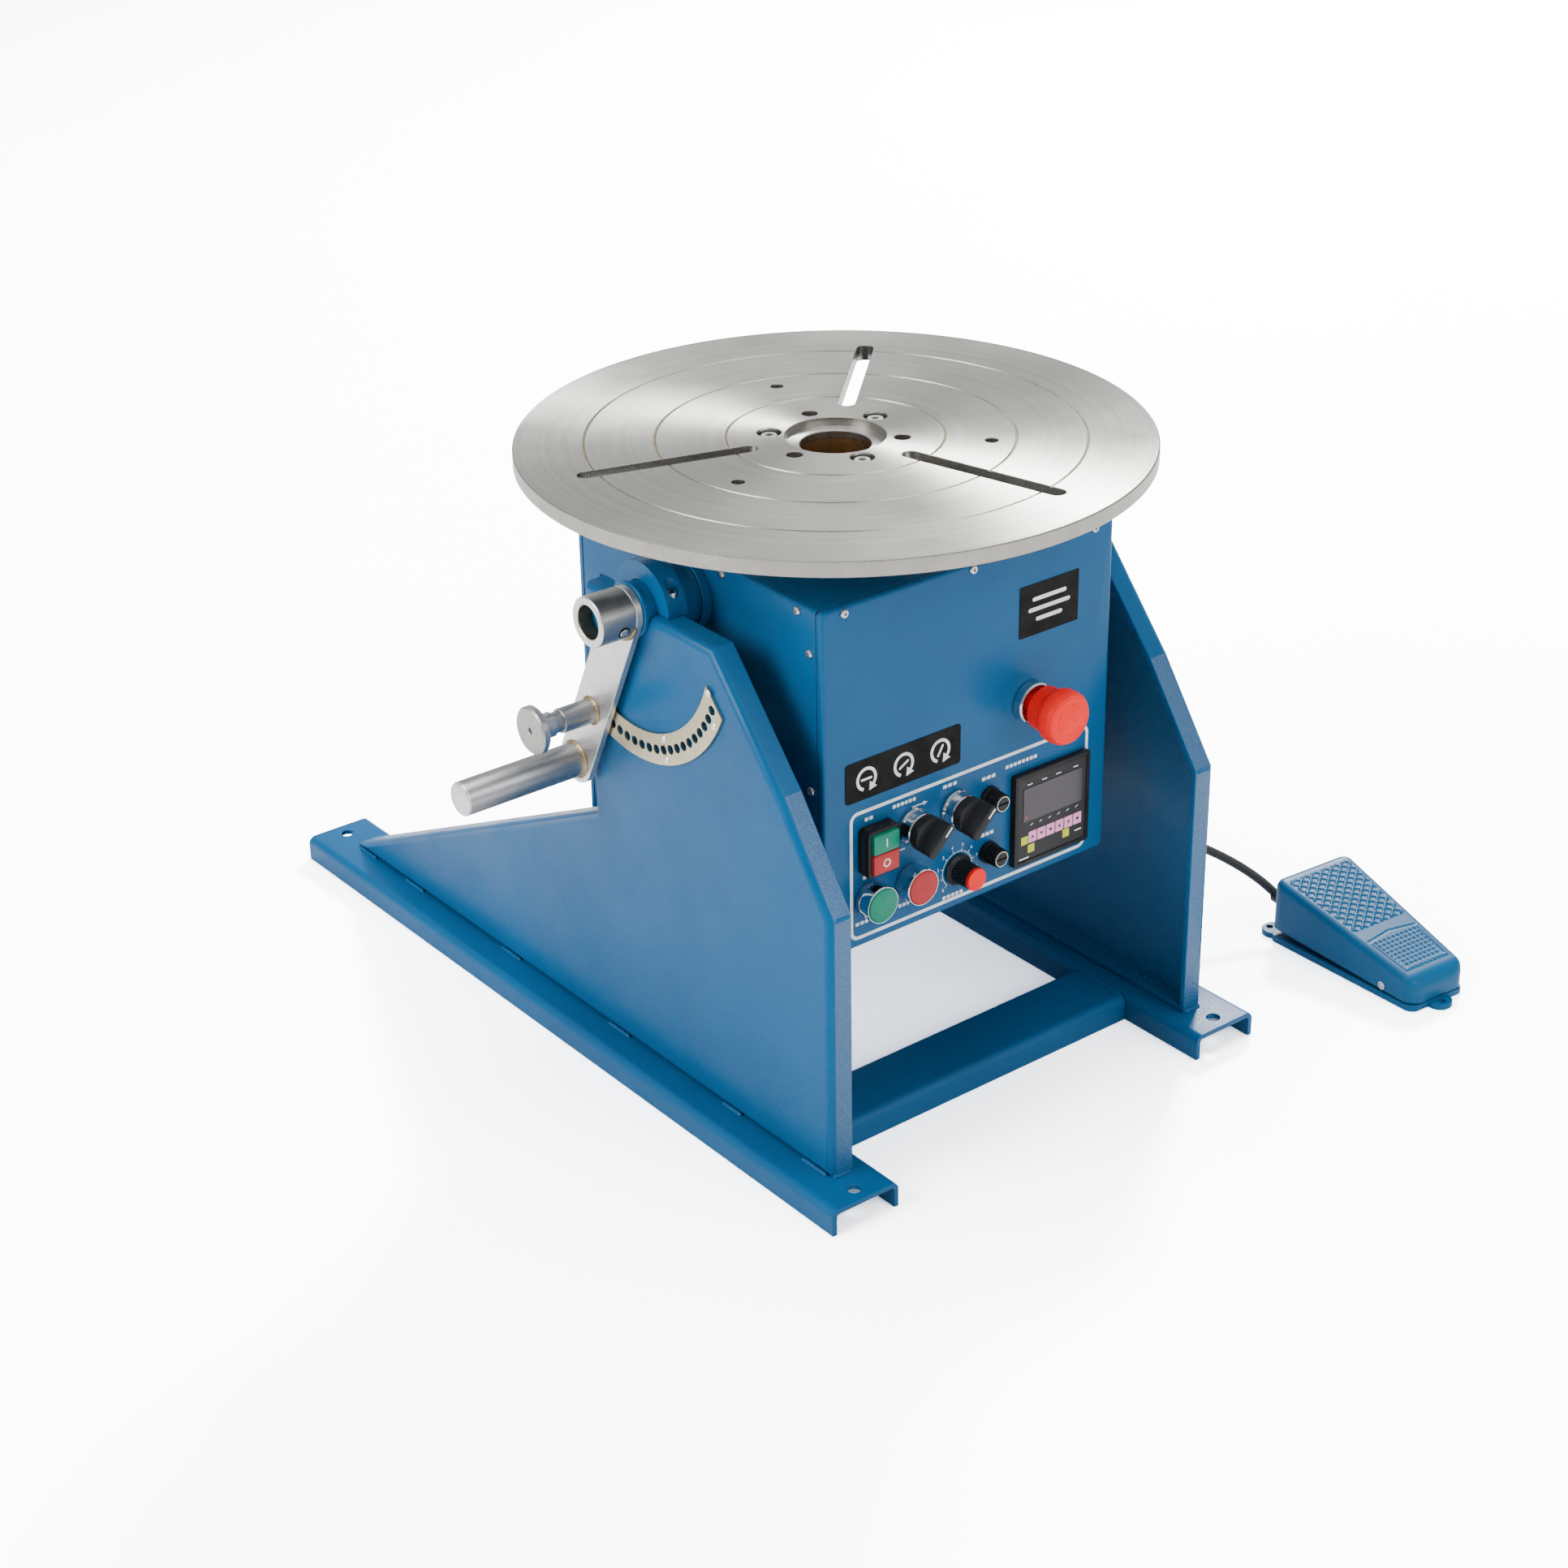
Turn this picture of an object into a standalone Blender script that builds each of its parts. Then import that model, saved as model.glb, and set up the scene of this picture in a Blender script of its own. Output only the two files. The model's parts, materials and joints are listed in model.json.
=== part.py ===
"""Tilting rotary table for welding: a steel face plate on a motor-driven hollow spindle, in a housing that
tilts between two sheet-steel side plates, with a lever, an index plunger, a control panel and a foot switch.

Lengths in this script are millimetres in the machine's own frame: X = 0 midway between the side plates,
Y = 0 on the tilt axis and the table's axis, Z = 0 on the floor. -Y is the control panel's side and -X the
lever's side. MM turns them into metres where a mesh is made, and the "machine" empty moves the whole
assembly so that the world origin is on the floor under the middle of everything.
"""
import math

import bmesh
import bpy

MM = 0.001
GAP = 0.3
THROUGH = 2.0

# Table, spindle and bearings
TABLE_R = 250.0
TABLE_TOP = 507.0
TABLE_THICK = 13.0
TABLE_GROOVES = (85.0, 140.0, 195.0)
GROOVE_WIDTH = 1.6
GROOVE_DEPTH = 1.0
RECESS_R = 39.5
RECESS_DEPTH = 7.0
SPINDLE_BORE_R = 28.0
SPINDLE_R = 34.0
SPINDLE_FLANGE_R = 66.0
SPINDLE_BOTTOM = 380.0
SLOT_IN = 66.0
SLOT_OUT = 210.0
SLOT_WIDTH = 14.0
SLOT_ANGLES = (43.9, 163.9, 283.9)
BOLT_RING_R = 52.0
SCREW_ANGLES = (13.9, 133.9, 253.9)
TAPPED_ANGLES = (73.9, 193.9, 313.9)
TAPPED_R = 5.8
OUTER_HOLE_R = 4.8
OUTER_HOLE_RING_R = 121.0
BEARING_R = 48.0
BEARING_WIDTH = 14.0

# Gear drive
GEAR_MODULE = 2.0
GEAR_TEETH = 60
PINION_TEETH = 15
PRESSURE_ANGLE = math.radians(20.0)
TOOTH_BACKLASH = 0.5
GEAR_LOW = 403.0
GEAR_HIGH = 417.0
PINION_Y = GEAR_MODULE * (GEAR_TEETH + PINION_TEETH) / 2.0

# Tilting housing
HOUSING_X = 145.2
HOUSING_FRONT = -161.6
HOUSING_REAR = 148.6
HOUSING_LOW = 162.4
HOUSING_TOP = 451.6
SHEET = 3.0
COVER_DEPTH = 6.3
TILT_Z = 417.0

# Stand
WEB_FACE = 197.9
FLANGE_EDGE = 176.5
PLATE_SHEET = 5.0
PLATE_BEND = 7.0
CHANNEL_IN = 159.0
CHANNEL_OUT = 223.6
CHANNEL_HIGH = 22.5
CHANNEL_SHEET = 4.5
CHANNEL_BEND = 7.0
CHANNEL_FRONT = -265.6
CHANNEL_REAR = 502.1
ANCHOR_X = 191.5
ANCHOR_INSET = 14.0
ANCHOR_R = 5.5
ANCHOR_PAD = 29.0
FRONT_CROSS = (-182.3, -120.2)
REAR_CROSS = (300.0, 362.0)

# Trunnions, lever and index plunger
SHAFT_R = 13.2
SLEEVE_BORE_R = 13.5
BUSH_R = 20.0
CAP_R = 35.0
CAP_BACK = 172.0
CAP_FACE = 189.5
CAP_SCREW_Y = 27.0
COLLAR_R = 22.0
TRUNNION_FLANGE_R = 30.0
TRUNNION_HUB_R = 25.0
SLEEVE_R = 20.0
SLEEVE_END = 239.0
SHAFT_END = 226.0
ARM_BACK = 202.0
ARM_FACE = 208.0
ARM_HALF_WIDTH = 20.0
ARM_ANGLE = 25.5
INDEX_R = 110.7
INDEX_STEP = 5.0
INDEX_HOLES = 19
INDEX_HOLE_R = 3.9
PIN_R = 3.4
PIN_TRAVEL = 7.0
GUIDE_SHOULDER = 238.0
KNOB_DISC = 258.0
GUIDE_NOSE = KNOB_DISC - PIN_TRAVEL - 0.7
SCALE_FACE = 200.2
SCALE_EDGES = ((123.0, -29.0, 65.5), (98.0, 73.5, -34.0))
GRIP_RING_R = 168.0
GRIP_R = 14.0
GRIP_END = 317.0

# Foot switch, in its own frame: Y runs from its low front to its high rear
PEDAL_PLACE = (385.5, -250.0)
PEDAL_TURN = math.radians(-4.2)
PEDAL_HALF_LENGTH = 82.0
PEDAL_REAR_HALF_WIDTH = 43.0
PEDAL_FRONT_HALF_WIDTH = 31.0
PEDAL_PIN_Y = -48.0
PEDAL_PIN_Z = 12.5
PEDAL_PLATE = 6.0
EAR_R = 11.0
FRONT_EAR_Y = -83.0
REAR_EAR = (-31.5, 86.0)
CABLE_EXIT_X = -28.0
CABLE_EXIT_Z = 34.0
CABLE_R = 4.0
CABLE_SLOT_RISE = 6.5
CABLE_SLOT_ROOM = 3.0
GLAND_Y = -60.0
GLAND_Z = 105.0

# The middle of the whole assembly's outline on the floor, which is the world origin
PEDAL_EDGE = PEDAL_PLACE[0] + 48.3
PEDAL_TIP = PEDAL_PLACE[1] - 93.75
MIDDLE_X = (PEDAL_EDGE - GRIP_END) / 2.0
MIDDLE_Y = (CHANNEL_REAR + PEDAL_TIP) / 2.0

# Steps around a full turn, by the size of the round feature
FINE = 48
MEDIUM = 20
COARSE = 12
SMALL = 8

carriers = {}
materials = {}


# ---------------------------------------------------------------- scene, materials and carriers

def clear_scene():
    for obj in list(bpy.data.objects):
        bpy.data.objects.remove(obj, do_unlink=True)


def add_material(name, colour, roughness, metallic):
    """Make one Principled material and keep it by name."""
    material = bpy.data.materials.new(name)
    material.use_nodes = True
    shader = material.node_tree.nodes["Principled BSDF"]
    shader.inputs["Base Color"].default_value = (*colour, 1.0)
    shader.inputs["Roughness"].default_value = roughness
    shader.inputs["Metallic"].default_value = metallic
    material.diffuse_color = (*colour, 1.0)
    materials[name] = material


def make_materials():
    add_material("blue_paint", (0.012, 0.102, 0.246), 0.35, 0.0)
    add_material("machined_steel", (0.58, 0.58, 0.56), 0.32, 1.0)
    add_material("zinc_steel", (0.42, 0.43, 0.44), 0.35, 1.0)
    add_material("dark_steel", (0.10, 0.10, 0.11), 0.45, 1.0)
    add_material("nickel_plate", (0.55, 0.51, 0.42), 0.40, 1.0)
    add_material("chrome", (0.62, 0.63, 0.65), 0.12, 1.0)
    add_material("bearing_steel", (0.66, 0.67, 0.68), 0.20, 1.0)
    add_material("bronze", (0.45, 0.26, 0.10), 0.40, 1.0)
    add_material("black_plastic", (0.016, 0.017, 0.019), 0.40, 0.0)
    add_material("red_plastic", (0.72, 0.045, 0.035), 0.38, 0.0)
    add_material("green_plastic", (0.0, 0.34, 0.21), 0.38, 0.0)
    add_material("cable_rubber", (0.025, 0.025, 0.025), 0.55, 0.0)
    add_material("board_green", (0.01, 0.12, 0.05), 0.50, 0.0)
    add_material("pedal_paint", (0.016, 0.12, 0.25), 0.38, 0.0)


def add_carrier(name, position, parent=None):
    """An empty on a joint's axis; the pieces that turn or slide there are its children."""
    empty = bpy.data.objects.new(name, None)
    empty.empty_display_size = 0.05
    bpy.context.collection.objects.link(empty)
    if parent is None:
        empty.location = (-MIDDLE_X * MM, -MIDDLE_Y * MM, 0.0)
    else:
        parent_empty, parent_position = carriers[parent]
        empty.parent = parent_empty
        empty.location = [(a - b) * MM for a, b in zip(position, parent_position)]
    carriers[name] = (empty, position)


def make_carriers():
    front = HOUSING_FRONT
    add_carrier("machine", (0.0, 0.0, 0.0))
    add_carrier("tilt_axis", (0.0, 0.0, TILT_Z), "machine")
    add_carrier("table_axis", (0.0, 0.0, TABLE_TOP), "tilt_axis")
    add_carrier("pinion_axis", (0.0, PINION_Y, GEAR_HIGH), "tilt_axis")
    add_carrier("plunger_axis", (-SCALE_FACE, *index_point(INDEX_R, -ARM_ANGLE)), "tilt_axis")
    add_carrier("pedal_axis", pedal_place((0.0, PEDAL_PIN_Y, PEDAL_PIN_Z)), "machine")
    for name, (x, z) in PANEL_AXES.items():
        add_carrier(name + "_axis", (x, front, z), "tilt_axis")


# ---------------------------------------------------------------- outlines in a plane

def arc(centre, radius, start, end, steps):
    """Points along an arc, both ends included; angles in degrees."""
    points = []
    for i in range(steps + 1):
        angle = math.radians(start + (end - start) * i / steps)
        points.append((centre[0] + radius * math.cos(angle), centre[1] + radius * math.sin(angle)))
    return points


def circle(centre, radius, steps):
    return arc(centre, radius, 0.0, 360.0 * (steps - 1) / steps, steps - 1)


def rounded_box(low, high, radius, steps=3):
    """A rectangle's outline with round corners, anticlockwise."""
    corners = (
        ((high[0] - radius, high[1] - radius), 0.0),
        ((low[0] + radius, high[1] - radius), 90.0),
        ((low[0] + radius, low[1] + radius), 180.0),
        ((high[0] - radius, low[1] + radius), 270.0),
    )
    outline = []
    for centre, start in corners:
        outline += arc(centre, radius, start, start + 90.0, steps)
    return outline


def capsule(start, end, radius, steps=8):
    """The outline of a plate with a round end at each of two points."""
    heading = math.degrees(math.atan2(end[1] - start[1], end[0] - start[0]))
    outline = arc(start, radius, heading + 90.0, heading + 270.0, steps)
    return outline + arc(end, radius, heading - 90.0, heading + 90.0, steps)


def signed_area(outline):
    total = 0.0
    for (x0, y0), (x1, y1) in zip(outline, outline[1:] + outline[:1]):
        total += x0 * y1 - x1 * y0
    return total / 2.0


def inset(outline, distance):
    """Move every edge of an outline inward by the same distance."""
    side = 1.0 if signed_area(outline) > 0.0 else -1.0
    moved = []
    for before, here, after in zip(outline[-1:] + outline[:-1], outline, outline[1:] + outline[:1]):
        first = edge_normal(before, here, side)
        second = edge_normal(here, after, side)
        scale = distance / (1.0 + first[0] * second[0] + first[1] * second[1])
        shift = (first[0] + second[0], first[1] + second[1])
        moved.append((here[0] + shift[0] * scale, here[1] + shift[1] * scale))
    return moved


def edge_normal(start, end, side):
    length = math.hypot(end[0] - start[0], end[1] - start[1])
    return (-(end[1] - start[1]) / length * side, (end[0] - start[0]) / length * side)


def index_point(radius, angle):
    """The (y, z) of a point at a radius from the tilt axis; the angle runs from straight down to the front."""
    turn = math.radians(angle)
    return (-radius * math.sin(turn), TILT_Z - radius * math.cos(turn))


def gear_outline(teeth, centre, first_tooth):
    """An involute spur gear's outline, with the middle of one tooth at the angle first_tooth (radians)."""
    pitch_r = GEAR_MODULE * teeth / 2.0
    base_r = pitch_r * math.cos(PRESSURE_ANGLE)
    root_r = pitch_r - 1.2 * GEAR_MODULE
    tip_r = pitch_r + 0.9 * GEAR_MODULE
    half_pitch = math.pi / (2.0 * teeth) - TOOTH_BACKLASH / (2.0 * pitch_r)
    outline = []
    for i in range(teeth):
        middle = first_tooth + 2.0 * math.pi * i / teeth
        flank = []
        for radius in (root_r, tip_r):
            half = half_pitch + involute(pitch_r, base_r) - involute(max(radius, base_r), base_r)
            flank.append((radius, half))
        for radius, half in flank:
            outline.append(polar(centre, radius, middle - half))
        for radius, half in reversed(flank):
            outline.append(polar(centre, radius, middle + half))
    return outline


def involute(radius, base_r):
    angle = math.acos(min(1.0, base_r / radius))
    return math.tan(angle) - angle


def polar(centre, radius, angle):
    return (centre[0] + radius * math.cos(angle), centre[1] + radius * math.sin(angle))


# ---------------------------------------------------------------- shells: (vertices, faces) in millimetres

def to_space(axis, a, b, height):
    """A point of a plane square to an axis, at a height along that axis."""
    if axis == "X":
        return (height, a, b)
    if axis == "Y":
        return (a, height, b)
    return (a, b, height)


def loft(rings):
    """A closed shell through rings of equally many points, with a face across each end."""
    count = len(rings[0])
    verts = [point for ring in rings for point in ring]
    faces = [tuple(range(count))]
    for level in range(len(rings) - 1):
        for i in range(count):
            j = (i + 1) % count
            low, high = level * count, (level + 1) * count
            faces.append((low + i, low + j, high + j, high + i))
    faces.append(tuple(range((len(rings) - 1) * count, len(rings) * count)))
    return verts, faces


def prism(outline, axis, low, high):
    return loft([[to_space(axis, a, b, height) for a, b in outline] for height in (low, high)])


def box(low, high):
    outline = [(low[0], low[1]), (high[0], low[1]), (high[0], high[1]), (low[0], high[1])]
    return prism(outline, "Z", low[2], high[2])


def layers(outline, steps, axis):
    """A shell through copies of one outline, each moved inward and along the axis: (inset, height) steps."""
    rings = []
    for distance, height in steps:
        rings.append([to_space(axis, a, b, height) for a, b in inset(outline, distance)])
    return loft(rings)


def turned(profile, centre, axis, steps):
    """A turned shell from (radius, height) points; a profile that doesn't start at radius 0 is a ring."""
    verts, rows = [], []
    for radius, height in profile:
        around = 1 if radius == 0.0 else steps
        rows.append((len(verts), around))
        for a, b in circle(centre, radius, steps)[:around]:
            verts.append(to_space(axis, a, b, height))
    pairs = list(zip(rows, rows[1:]))
    if profile[0][0] > 0.0:
        pairs.append((rows[-1], rows[0]))
    faces = []
    for (low, low_count), (high, high_count) in pairs:
        for i in range(steps):
            j = (i + 1) % steps
            corners = [low + i % low_count, low + j % low_count, high + j % high_count, high + i % high_count]
            faces.append(tuple(dict.fromkeys(corners)))
    return verts, faces


def rod(radius, centre, axis, low, high, steps):
    return prism(circle(centre, radius, steps), axis, low, high)


def swept(path, radius, steps):
    """A round bar along a path of points."""
    rings = []
    for i, here in enumerate(path):
        before, after = path[max(i - 1, 0)], path[min(i + 1, len(path) - 1)]
        along = unit([b - a for a, b in zip(before, after)])
        side = unit(cross(along, (0.31, 0.17, 0.94)))
        up = cross(side, along)
        ring = []
        for k in range(steps):
            turn = 2.0 * math.pi * k / steps
            ring.append(tuple(
                c + radius * (math.cos(turn) * s + math.sin(turn) * u) for c, s, u in zip(here, side, up)
            ))
        rings.append(ring)
    return loft(rings)


def coil(radius, wire_r, turns, low, high, centre, axis, steps=16, around=6):
    """A helical spring; every ring of the wire is square to the helix."""
    count = int(turns * steps)
    rings = []
    for i in range(count + 1):
        angle = 2.0 * math.pi * i / steps
        ring = []
        for k in range(around):
            turn = 2.0 * math.pi * k / around
            a, b = polar(centre, radius + wire_r * math.cos(turn), angle)
            height = low + (high - low) * i / count + wire_r * math.sin(turn)
            ring.append(to_space(axis, a, b, height))
        rings.append(ring)
    return loft(rings)


def unit(vector):
    length = math.sqrt(sum(c * c for c in vector))
    return tuple(c / length for c in vector)


def cross(a, b):
    return (a[1] * b[2] - a[2] * b[1], a[2] * b[0] - a[0] * b[2], a[0] * b[1] - a[1] * b[0])


def together(shells):
    """Several shells that don't touch, as the vertices and faces of one mesh."""
    verts, faces = [], []
    for more_verts, more_faces in shells:
        start = len(verts)
        verts += more_verts
        faces += [tuple(start + i for i in face) for face in more_faces]
    return verts, faces


def mirrored(shell):
    """The same shell on the other side of the machine's middle plane."""
    return [(-x, y, z) for x, y, z in shell[0]], shell[1]


# ---------------------------------------------------------------- objects

def add_object(name, shell, carrier):
    empty, position = carriers[carrier]
    mesh = bpy.data.meshes.new(name)
    verts = [tuple((c - p) * MM for c, p in zip(vert, position)) for vert in shell[0]]
    mesh.from_pydata(verts, [], shell[1])
    shape = bmesh.new()
    shape.from_mesh(mesh)
    bmesh.ops.recalc_face_normals(shape, faces=shape.faces)
    shape.to_mesh(mesh)
    shape.free()
    obj = bpy.data.objects.new(name, mesh)
    obj.parent = empty
    bpy.context.collection.objects.link(obj)
    return obj


def add_piece(name, shell, material, carrier, smooth=True):
    obj = add_object(name, shell, carrier)
    obj.data.materials.append(materials[material])
    if smooth:
        obj.data.shade_smooth()
        obj.data.set_sharp_from_angle(angle=math.radians(35.0))
    return obj


def combine(obj, shells, carrier, operation, label):
    """Cut shells from a piece, or join them to it, through one hidden tool object."""
    tool = add_object("tool_" + obj.name + "_" + label, together(shells), carrier)
    tool.hide_render = True
    tool.display_type = "WIRE"
    modifier = obj.modifiers.new(label, "BOOLEAN")
    modifier.operation = operation
    modifier.object = tool
    modifier.solver = "EXACT"


def cut(obj, shells, carrier):
    combine(obj, shells, carrier, "DIFFERENCE", "cut")


def cut_again(obj, shells, carrier):
    """A second cut, for shells that meet the first cut's."""
    combine(obj, shells, carrier, "DIFFERENCE", "second_cut")


def join(obj, shells, carrier):
    combine(obj, shells, carrier, "UNION", "joined")


# ---------------------------------------------------------------- stand

def channel_outline(low, high):
    """A U channel's section, open downward, between two places across it."""
    bend, sheet = CHANNEL_BEND, CHANNEL_SHEET
    inner = bend - sheet
    top = CHANNEL_HIGH
    outline = [(high, 0.0)]
    outline += arc((high - bend, top - bend), bend, 0.0, 90.0, 4)
    outline += arc((low + bend, top - bend), bend, 90.0, 180.0, 4)
    outline += [(low, 0.0), (low + sheet, 0.0)]
    outline += arc((low + bend, top - bend), inner, 180.0, 90.0, 3)
    outline += arc((high - bend, top - bend), inner, 90.0, 0.0, 3)
    outline.append((high - sheet, 0.0))
    return outline


def base_channel(name, side):
    low, high = sorted((side * CHANNEL_IN, side * CHANNEL_OUT))
    stations = (CHANNEL_FRONT, CHANNEL_FRONT + ANCHOR_PAD, CHANNEL_REAR - ANCHOR_PAD, CHANNEL_REAR)
    section = channel_outline(low, high)
    rings = [[to_space("Y", a, b, y) for a, b in section] for y in stations]
    channel = add_piece(name, loft(rings), "blue_paint", "machine")
    holes = []
    for y in (CHANNEL_FRONT + ANCHOR_INSET, CHANNEL_REAR - ANCHOR_INSET - THROUGH):
        holes.append(rod(ANCHOR_R, (side * ANCHOR_X, y), "Z", THROUGH, CHANNEL_HIGH + THROUGH, COARSE))
    cut(channel, holes, "machine")


def cross_channel(name, span):
    reach = CHANNEL_IN - GAP
    add_piece(name, prism(channel_outline(*span), "X", -reach, reach), "blue_paint", "machine")


def plate_outline():
    """The side plate's outline in (y, z): upright front, sloped shoulder, level bearing seat, long rear foot."""
    foot = CHANNEL_HIGH + GAP
    return [
        (-232.0, foot), (462.7, foot), (64.2, 218.2), (64.2, TILT_Z), (-97.0, TILT_Z),
        (-175.9, 325.4), (-232.0, 245.9),
    ]


def side_plate(name, side):
    """A pressed pan, open toward the middle of the machine, with a half-round bearing seat in its top edge."""
    sheet, bend = PLATE_SHEET, PLATE_BEND
    depth = WEB_FACE - FLANGE_EDGE
    profile = []
    for i in range(4):
        turn = math.radians(30.0 * i)
        profile.append((bend - bend * math.sin(turn), bend - bend * math.cos(turn)))
    profile += [(0.0, depth), (sheet, depth), (sheet, bend), (bend, sheet)]
    steps = [(distance, WEB_FACE - back) for distance, back in profile]
    seat = prism(arc((0.0, TILT_Z - 1.0), 40.0, 180.0, 360.0, 16), "X", FLANGE_EDGE + 0.5, WEB_FACE - 3.0)
    bore = rod(BUSH_R + GAP, (0.0, TILT_Z), "X", FLANGE_EDGE - THROUGH, WEB_FACE + THROUGH, MEDIUM)
    shells = [layers(plate_outline(), steps, "X"), seat, bore]
    if side < 0:
        shells = [mirrored(shell) for shell in shells]
    plate = add_piece(name, shells[0], "blue_paint", "machine")
    join(plate, [shells[1]], "machine")
    holes = [shells[2]]
    if side < 0:
        holes += index_holes(WEB_FACE - PLATE_SHEET - THROUGH, WEB_FACE + THROUGH)
    else:
        inside, outside = WEB_FACE - PLATE_SHEET - THROUGH, WEB_FACE + THROUGH
        holes.append(rod(6.0, (GLAND_Y, GLAND_Z), "X", inside, outside, SMALL))
    cut(plate, holes, "machine")


def index_holes(low, high):
    """Round cutters at every index step, through the left plate's web or the scale on it."""
    shells = []
    for i in range(INDEX_HOLES):
        centre = index_point(INDEX_R, INDEX_STEP * i - ARM_ANGLE)
        shells.append(rod(INDEX_HOLE_R, centre, "X", -high, -low, SMALL))
    return shells


def bearing_cap(name, side):
    centre = (0.0, TILT_Z + GAP)
    outline = arc(centre, CAP_R, 0.0, 180.0, 24) + arc(centre, BUSH_R + GAP, 180.0, 0.0, 16)
    low, high = sorted((side * CAP_BACK, side * CAP_FACE))
    cap = add_piece(name, prism(outline, "X", low, high), "blue_paint", "machine")
    middle = (low + high) / 2.0
    wells = []
    for y in (-CAP_SCREW_Y, CAP_SCREW_Y):
        wells.append(rod(5.0, (middle, y), "Z", TILT_Z + 12.0, TILT_Z + CAP_R, SMALL))
    cut(cap, wells, "machine")


def trunnion_bush(name, side):
    """A flanged plain bearing, with its collar on the outside of the plate."""
    collar = (COLLAR_R, WEB_FACE + GAP, ARM_BACK - GAP)
    profile = [
        (SLEEVE_BORE_R, FLANGE_EDGE), (BUSH_R, FLANGE_EDGE), (BUSH_R, collar[1]), (collar[0], collar[1]),
        (collar[0], collar[2]), (SLEEVE_BORE_R, collar[2]),
    ]
    shell = turned(profile, (0.0, TILT_Z), "X", MEDIUM)
    add_piece(name, shell if side > 0 else mirrored(shell), "bronze", "machine")


def angle_scale():
    """A thin sector plate round the index holes; its ends slant, with the longer side at the inner edge."""
    steps = 20
    outline = []
    for radius, start, end in SCALE_EDGES:
        for i in range(steps + 1):
            outline.append(index_point(radius, start + (end - start) * i / steps))
    plate = add_piece(
        "angle_scale", prism(outline, "X", -SCALE_FACE, -WEB_FACE - GAP), "nickel_plate", "machine"
    )
    cut(plate, index_holes(WEB_FACE - THROUGH, SCALE_FACE + THROUGH), "machine")


def make_stand():
    base_channel("left_base_channel", -1)
    base_channel("right_base_channel", 1)
    cross_channel("front_cross_channel", FRONT_CROSS)
    cross_channel("rear_cross_channel", REAR_CROSS)
    side_plate("left_side_plate", -1)
    side_plate("right_side_plate", 1)
    bearing_cap("left_bearing_cap", -1)
    bearing_cap("right_bearing_cap", 1)
    trunnion_bush("left_trunnion_bush", -1)
    trunnion_bush("right_trunnion_bush", 1)
    angle_scale()


# ---------------------------------------------------------------- foot switch

def pedal_place(point):
    """A point of the foot switch's own frame, where the switch stands."""
    x, y, z = point
    turned_x = x * math.cos(PEDAL_TURN) - y * math.sin(PEDAL_TURN)
    turned_y = x * math.sin(PEDAL_TURN) + y * math.cos(PEDAL_TURN)
    return (PEDAL_PLACE[0] + turned_x, PEDAL_PLACE[1] + turned_y, z)


def parked(shell):
    """A foot switch shell, moved to where the switch stands."""
    return [pedal_place(point) for point in shell[0]], shell[1]


def tapered(shell):
    """A shell of full rear width, drawn in toward the front like the switch's plan."""
    rear, front, half = PEDAL_REAR_HALF_WIDTH, PEDAL_FRONT_HALF_WIDTH, PEDAL_HALF_LENGTH
    verts = []
    for x, y, z in shell[0]:
        along = (y + half) / (2.0 * half)
        verts.append((x * (front + (rear - front) * along) / rear, y, z))
    return verts, shell[1]


def treadle_outline(shrink):
    """The treadle's side view in (y, z), from its rear foot over the top to its front foot."""
    half = PEDAL_HALF_LENGTH - shrink
    drop = 0.0 if shrink == 0.0 else 12.0
    outline = [(half, 14.0 - drop), (half, 44.0 - shrink)]
    outline += arc((half - 12.0, 46.0 - shrink), 12.0, 10.0, 79.0, 3)
    outline += arc((9.0 - half, 24.0 - shrink), 9.0, 101.0, 170.0, 3)
    outline.append((-half, PEDAL_PLATE + 1.2 - drop))
    return outline


def pedal_treadle():
    """The pressed-steel cover that the foot rocks about the low front pin."""
    wall, edge = 3.0, 4.0
    reach = PEDAL_REAR_HALF_WIDTH
    rings = []
    for distance, x in ((edge, -reach), (0.0, edge - reach), (0.0, reach - edge), (edge, reach)):
        ring = treadle_outline(0.0)
        if distance > 0.0:
            feet = (ring[0], ring[-1])
            ring = inset(ring, distance)
            ring[0] = (ring[0][0], feet[0][1])
            ring[-1] = (ring[-1][0], feet[1][1])
        rings.append([to_space("X", a, b, x) for a, b in ring])
    treadle = add_piece("pedal_treadle", parked(tapered(loft(rings))), "pedal_paint", "pedal_axis")
    hollow = prism(treadle_outline(wall), "X", wall - reach, reach - wall)
    cut(treadle, [parked(tapered(hollow))], "pedal_axis")
    pin_hole = rod(2.6, (PEDAL_PIN_Y, PEDAL_PIN_Z), "X", -reach, reach, SMALL)
    half = PEDAL_HALF_LENGTH
    slot_ends = ((CABLE_EXIT_X, CABLE_EXIT_Z), (CABLE_EXIT_X, CABLE_EXIT_Z + CABLE_SLOT_RISE))
    cable_slot = prism(capsule(*slot_ends, CABLE_R + CABLE_SLOT_ROOM, 4), "Y", half - 8.0, half + THROUGH)
    cut_again(treadle, [parked(pin_hole), parked(cable_slot)], "pedal_axis")


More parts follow.
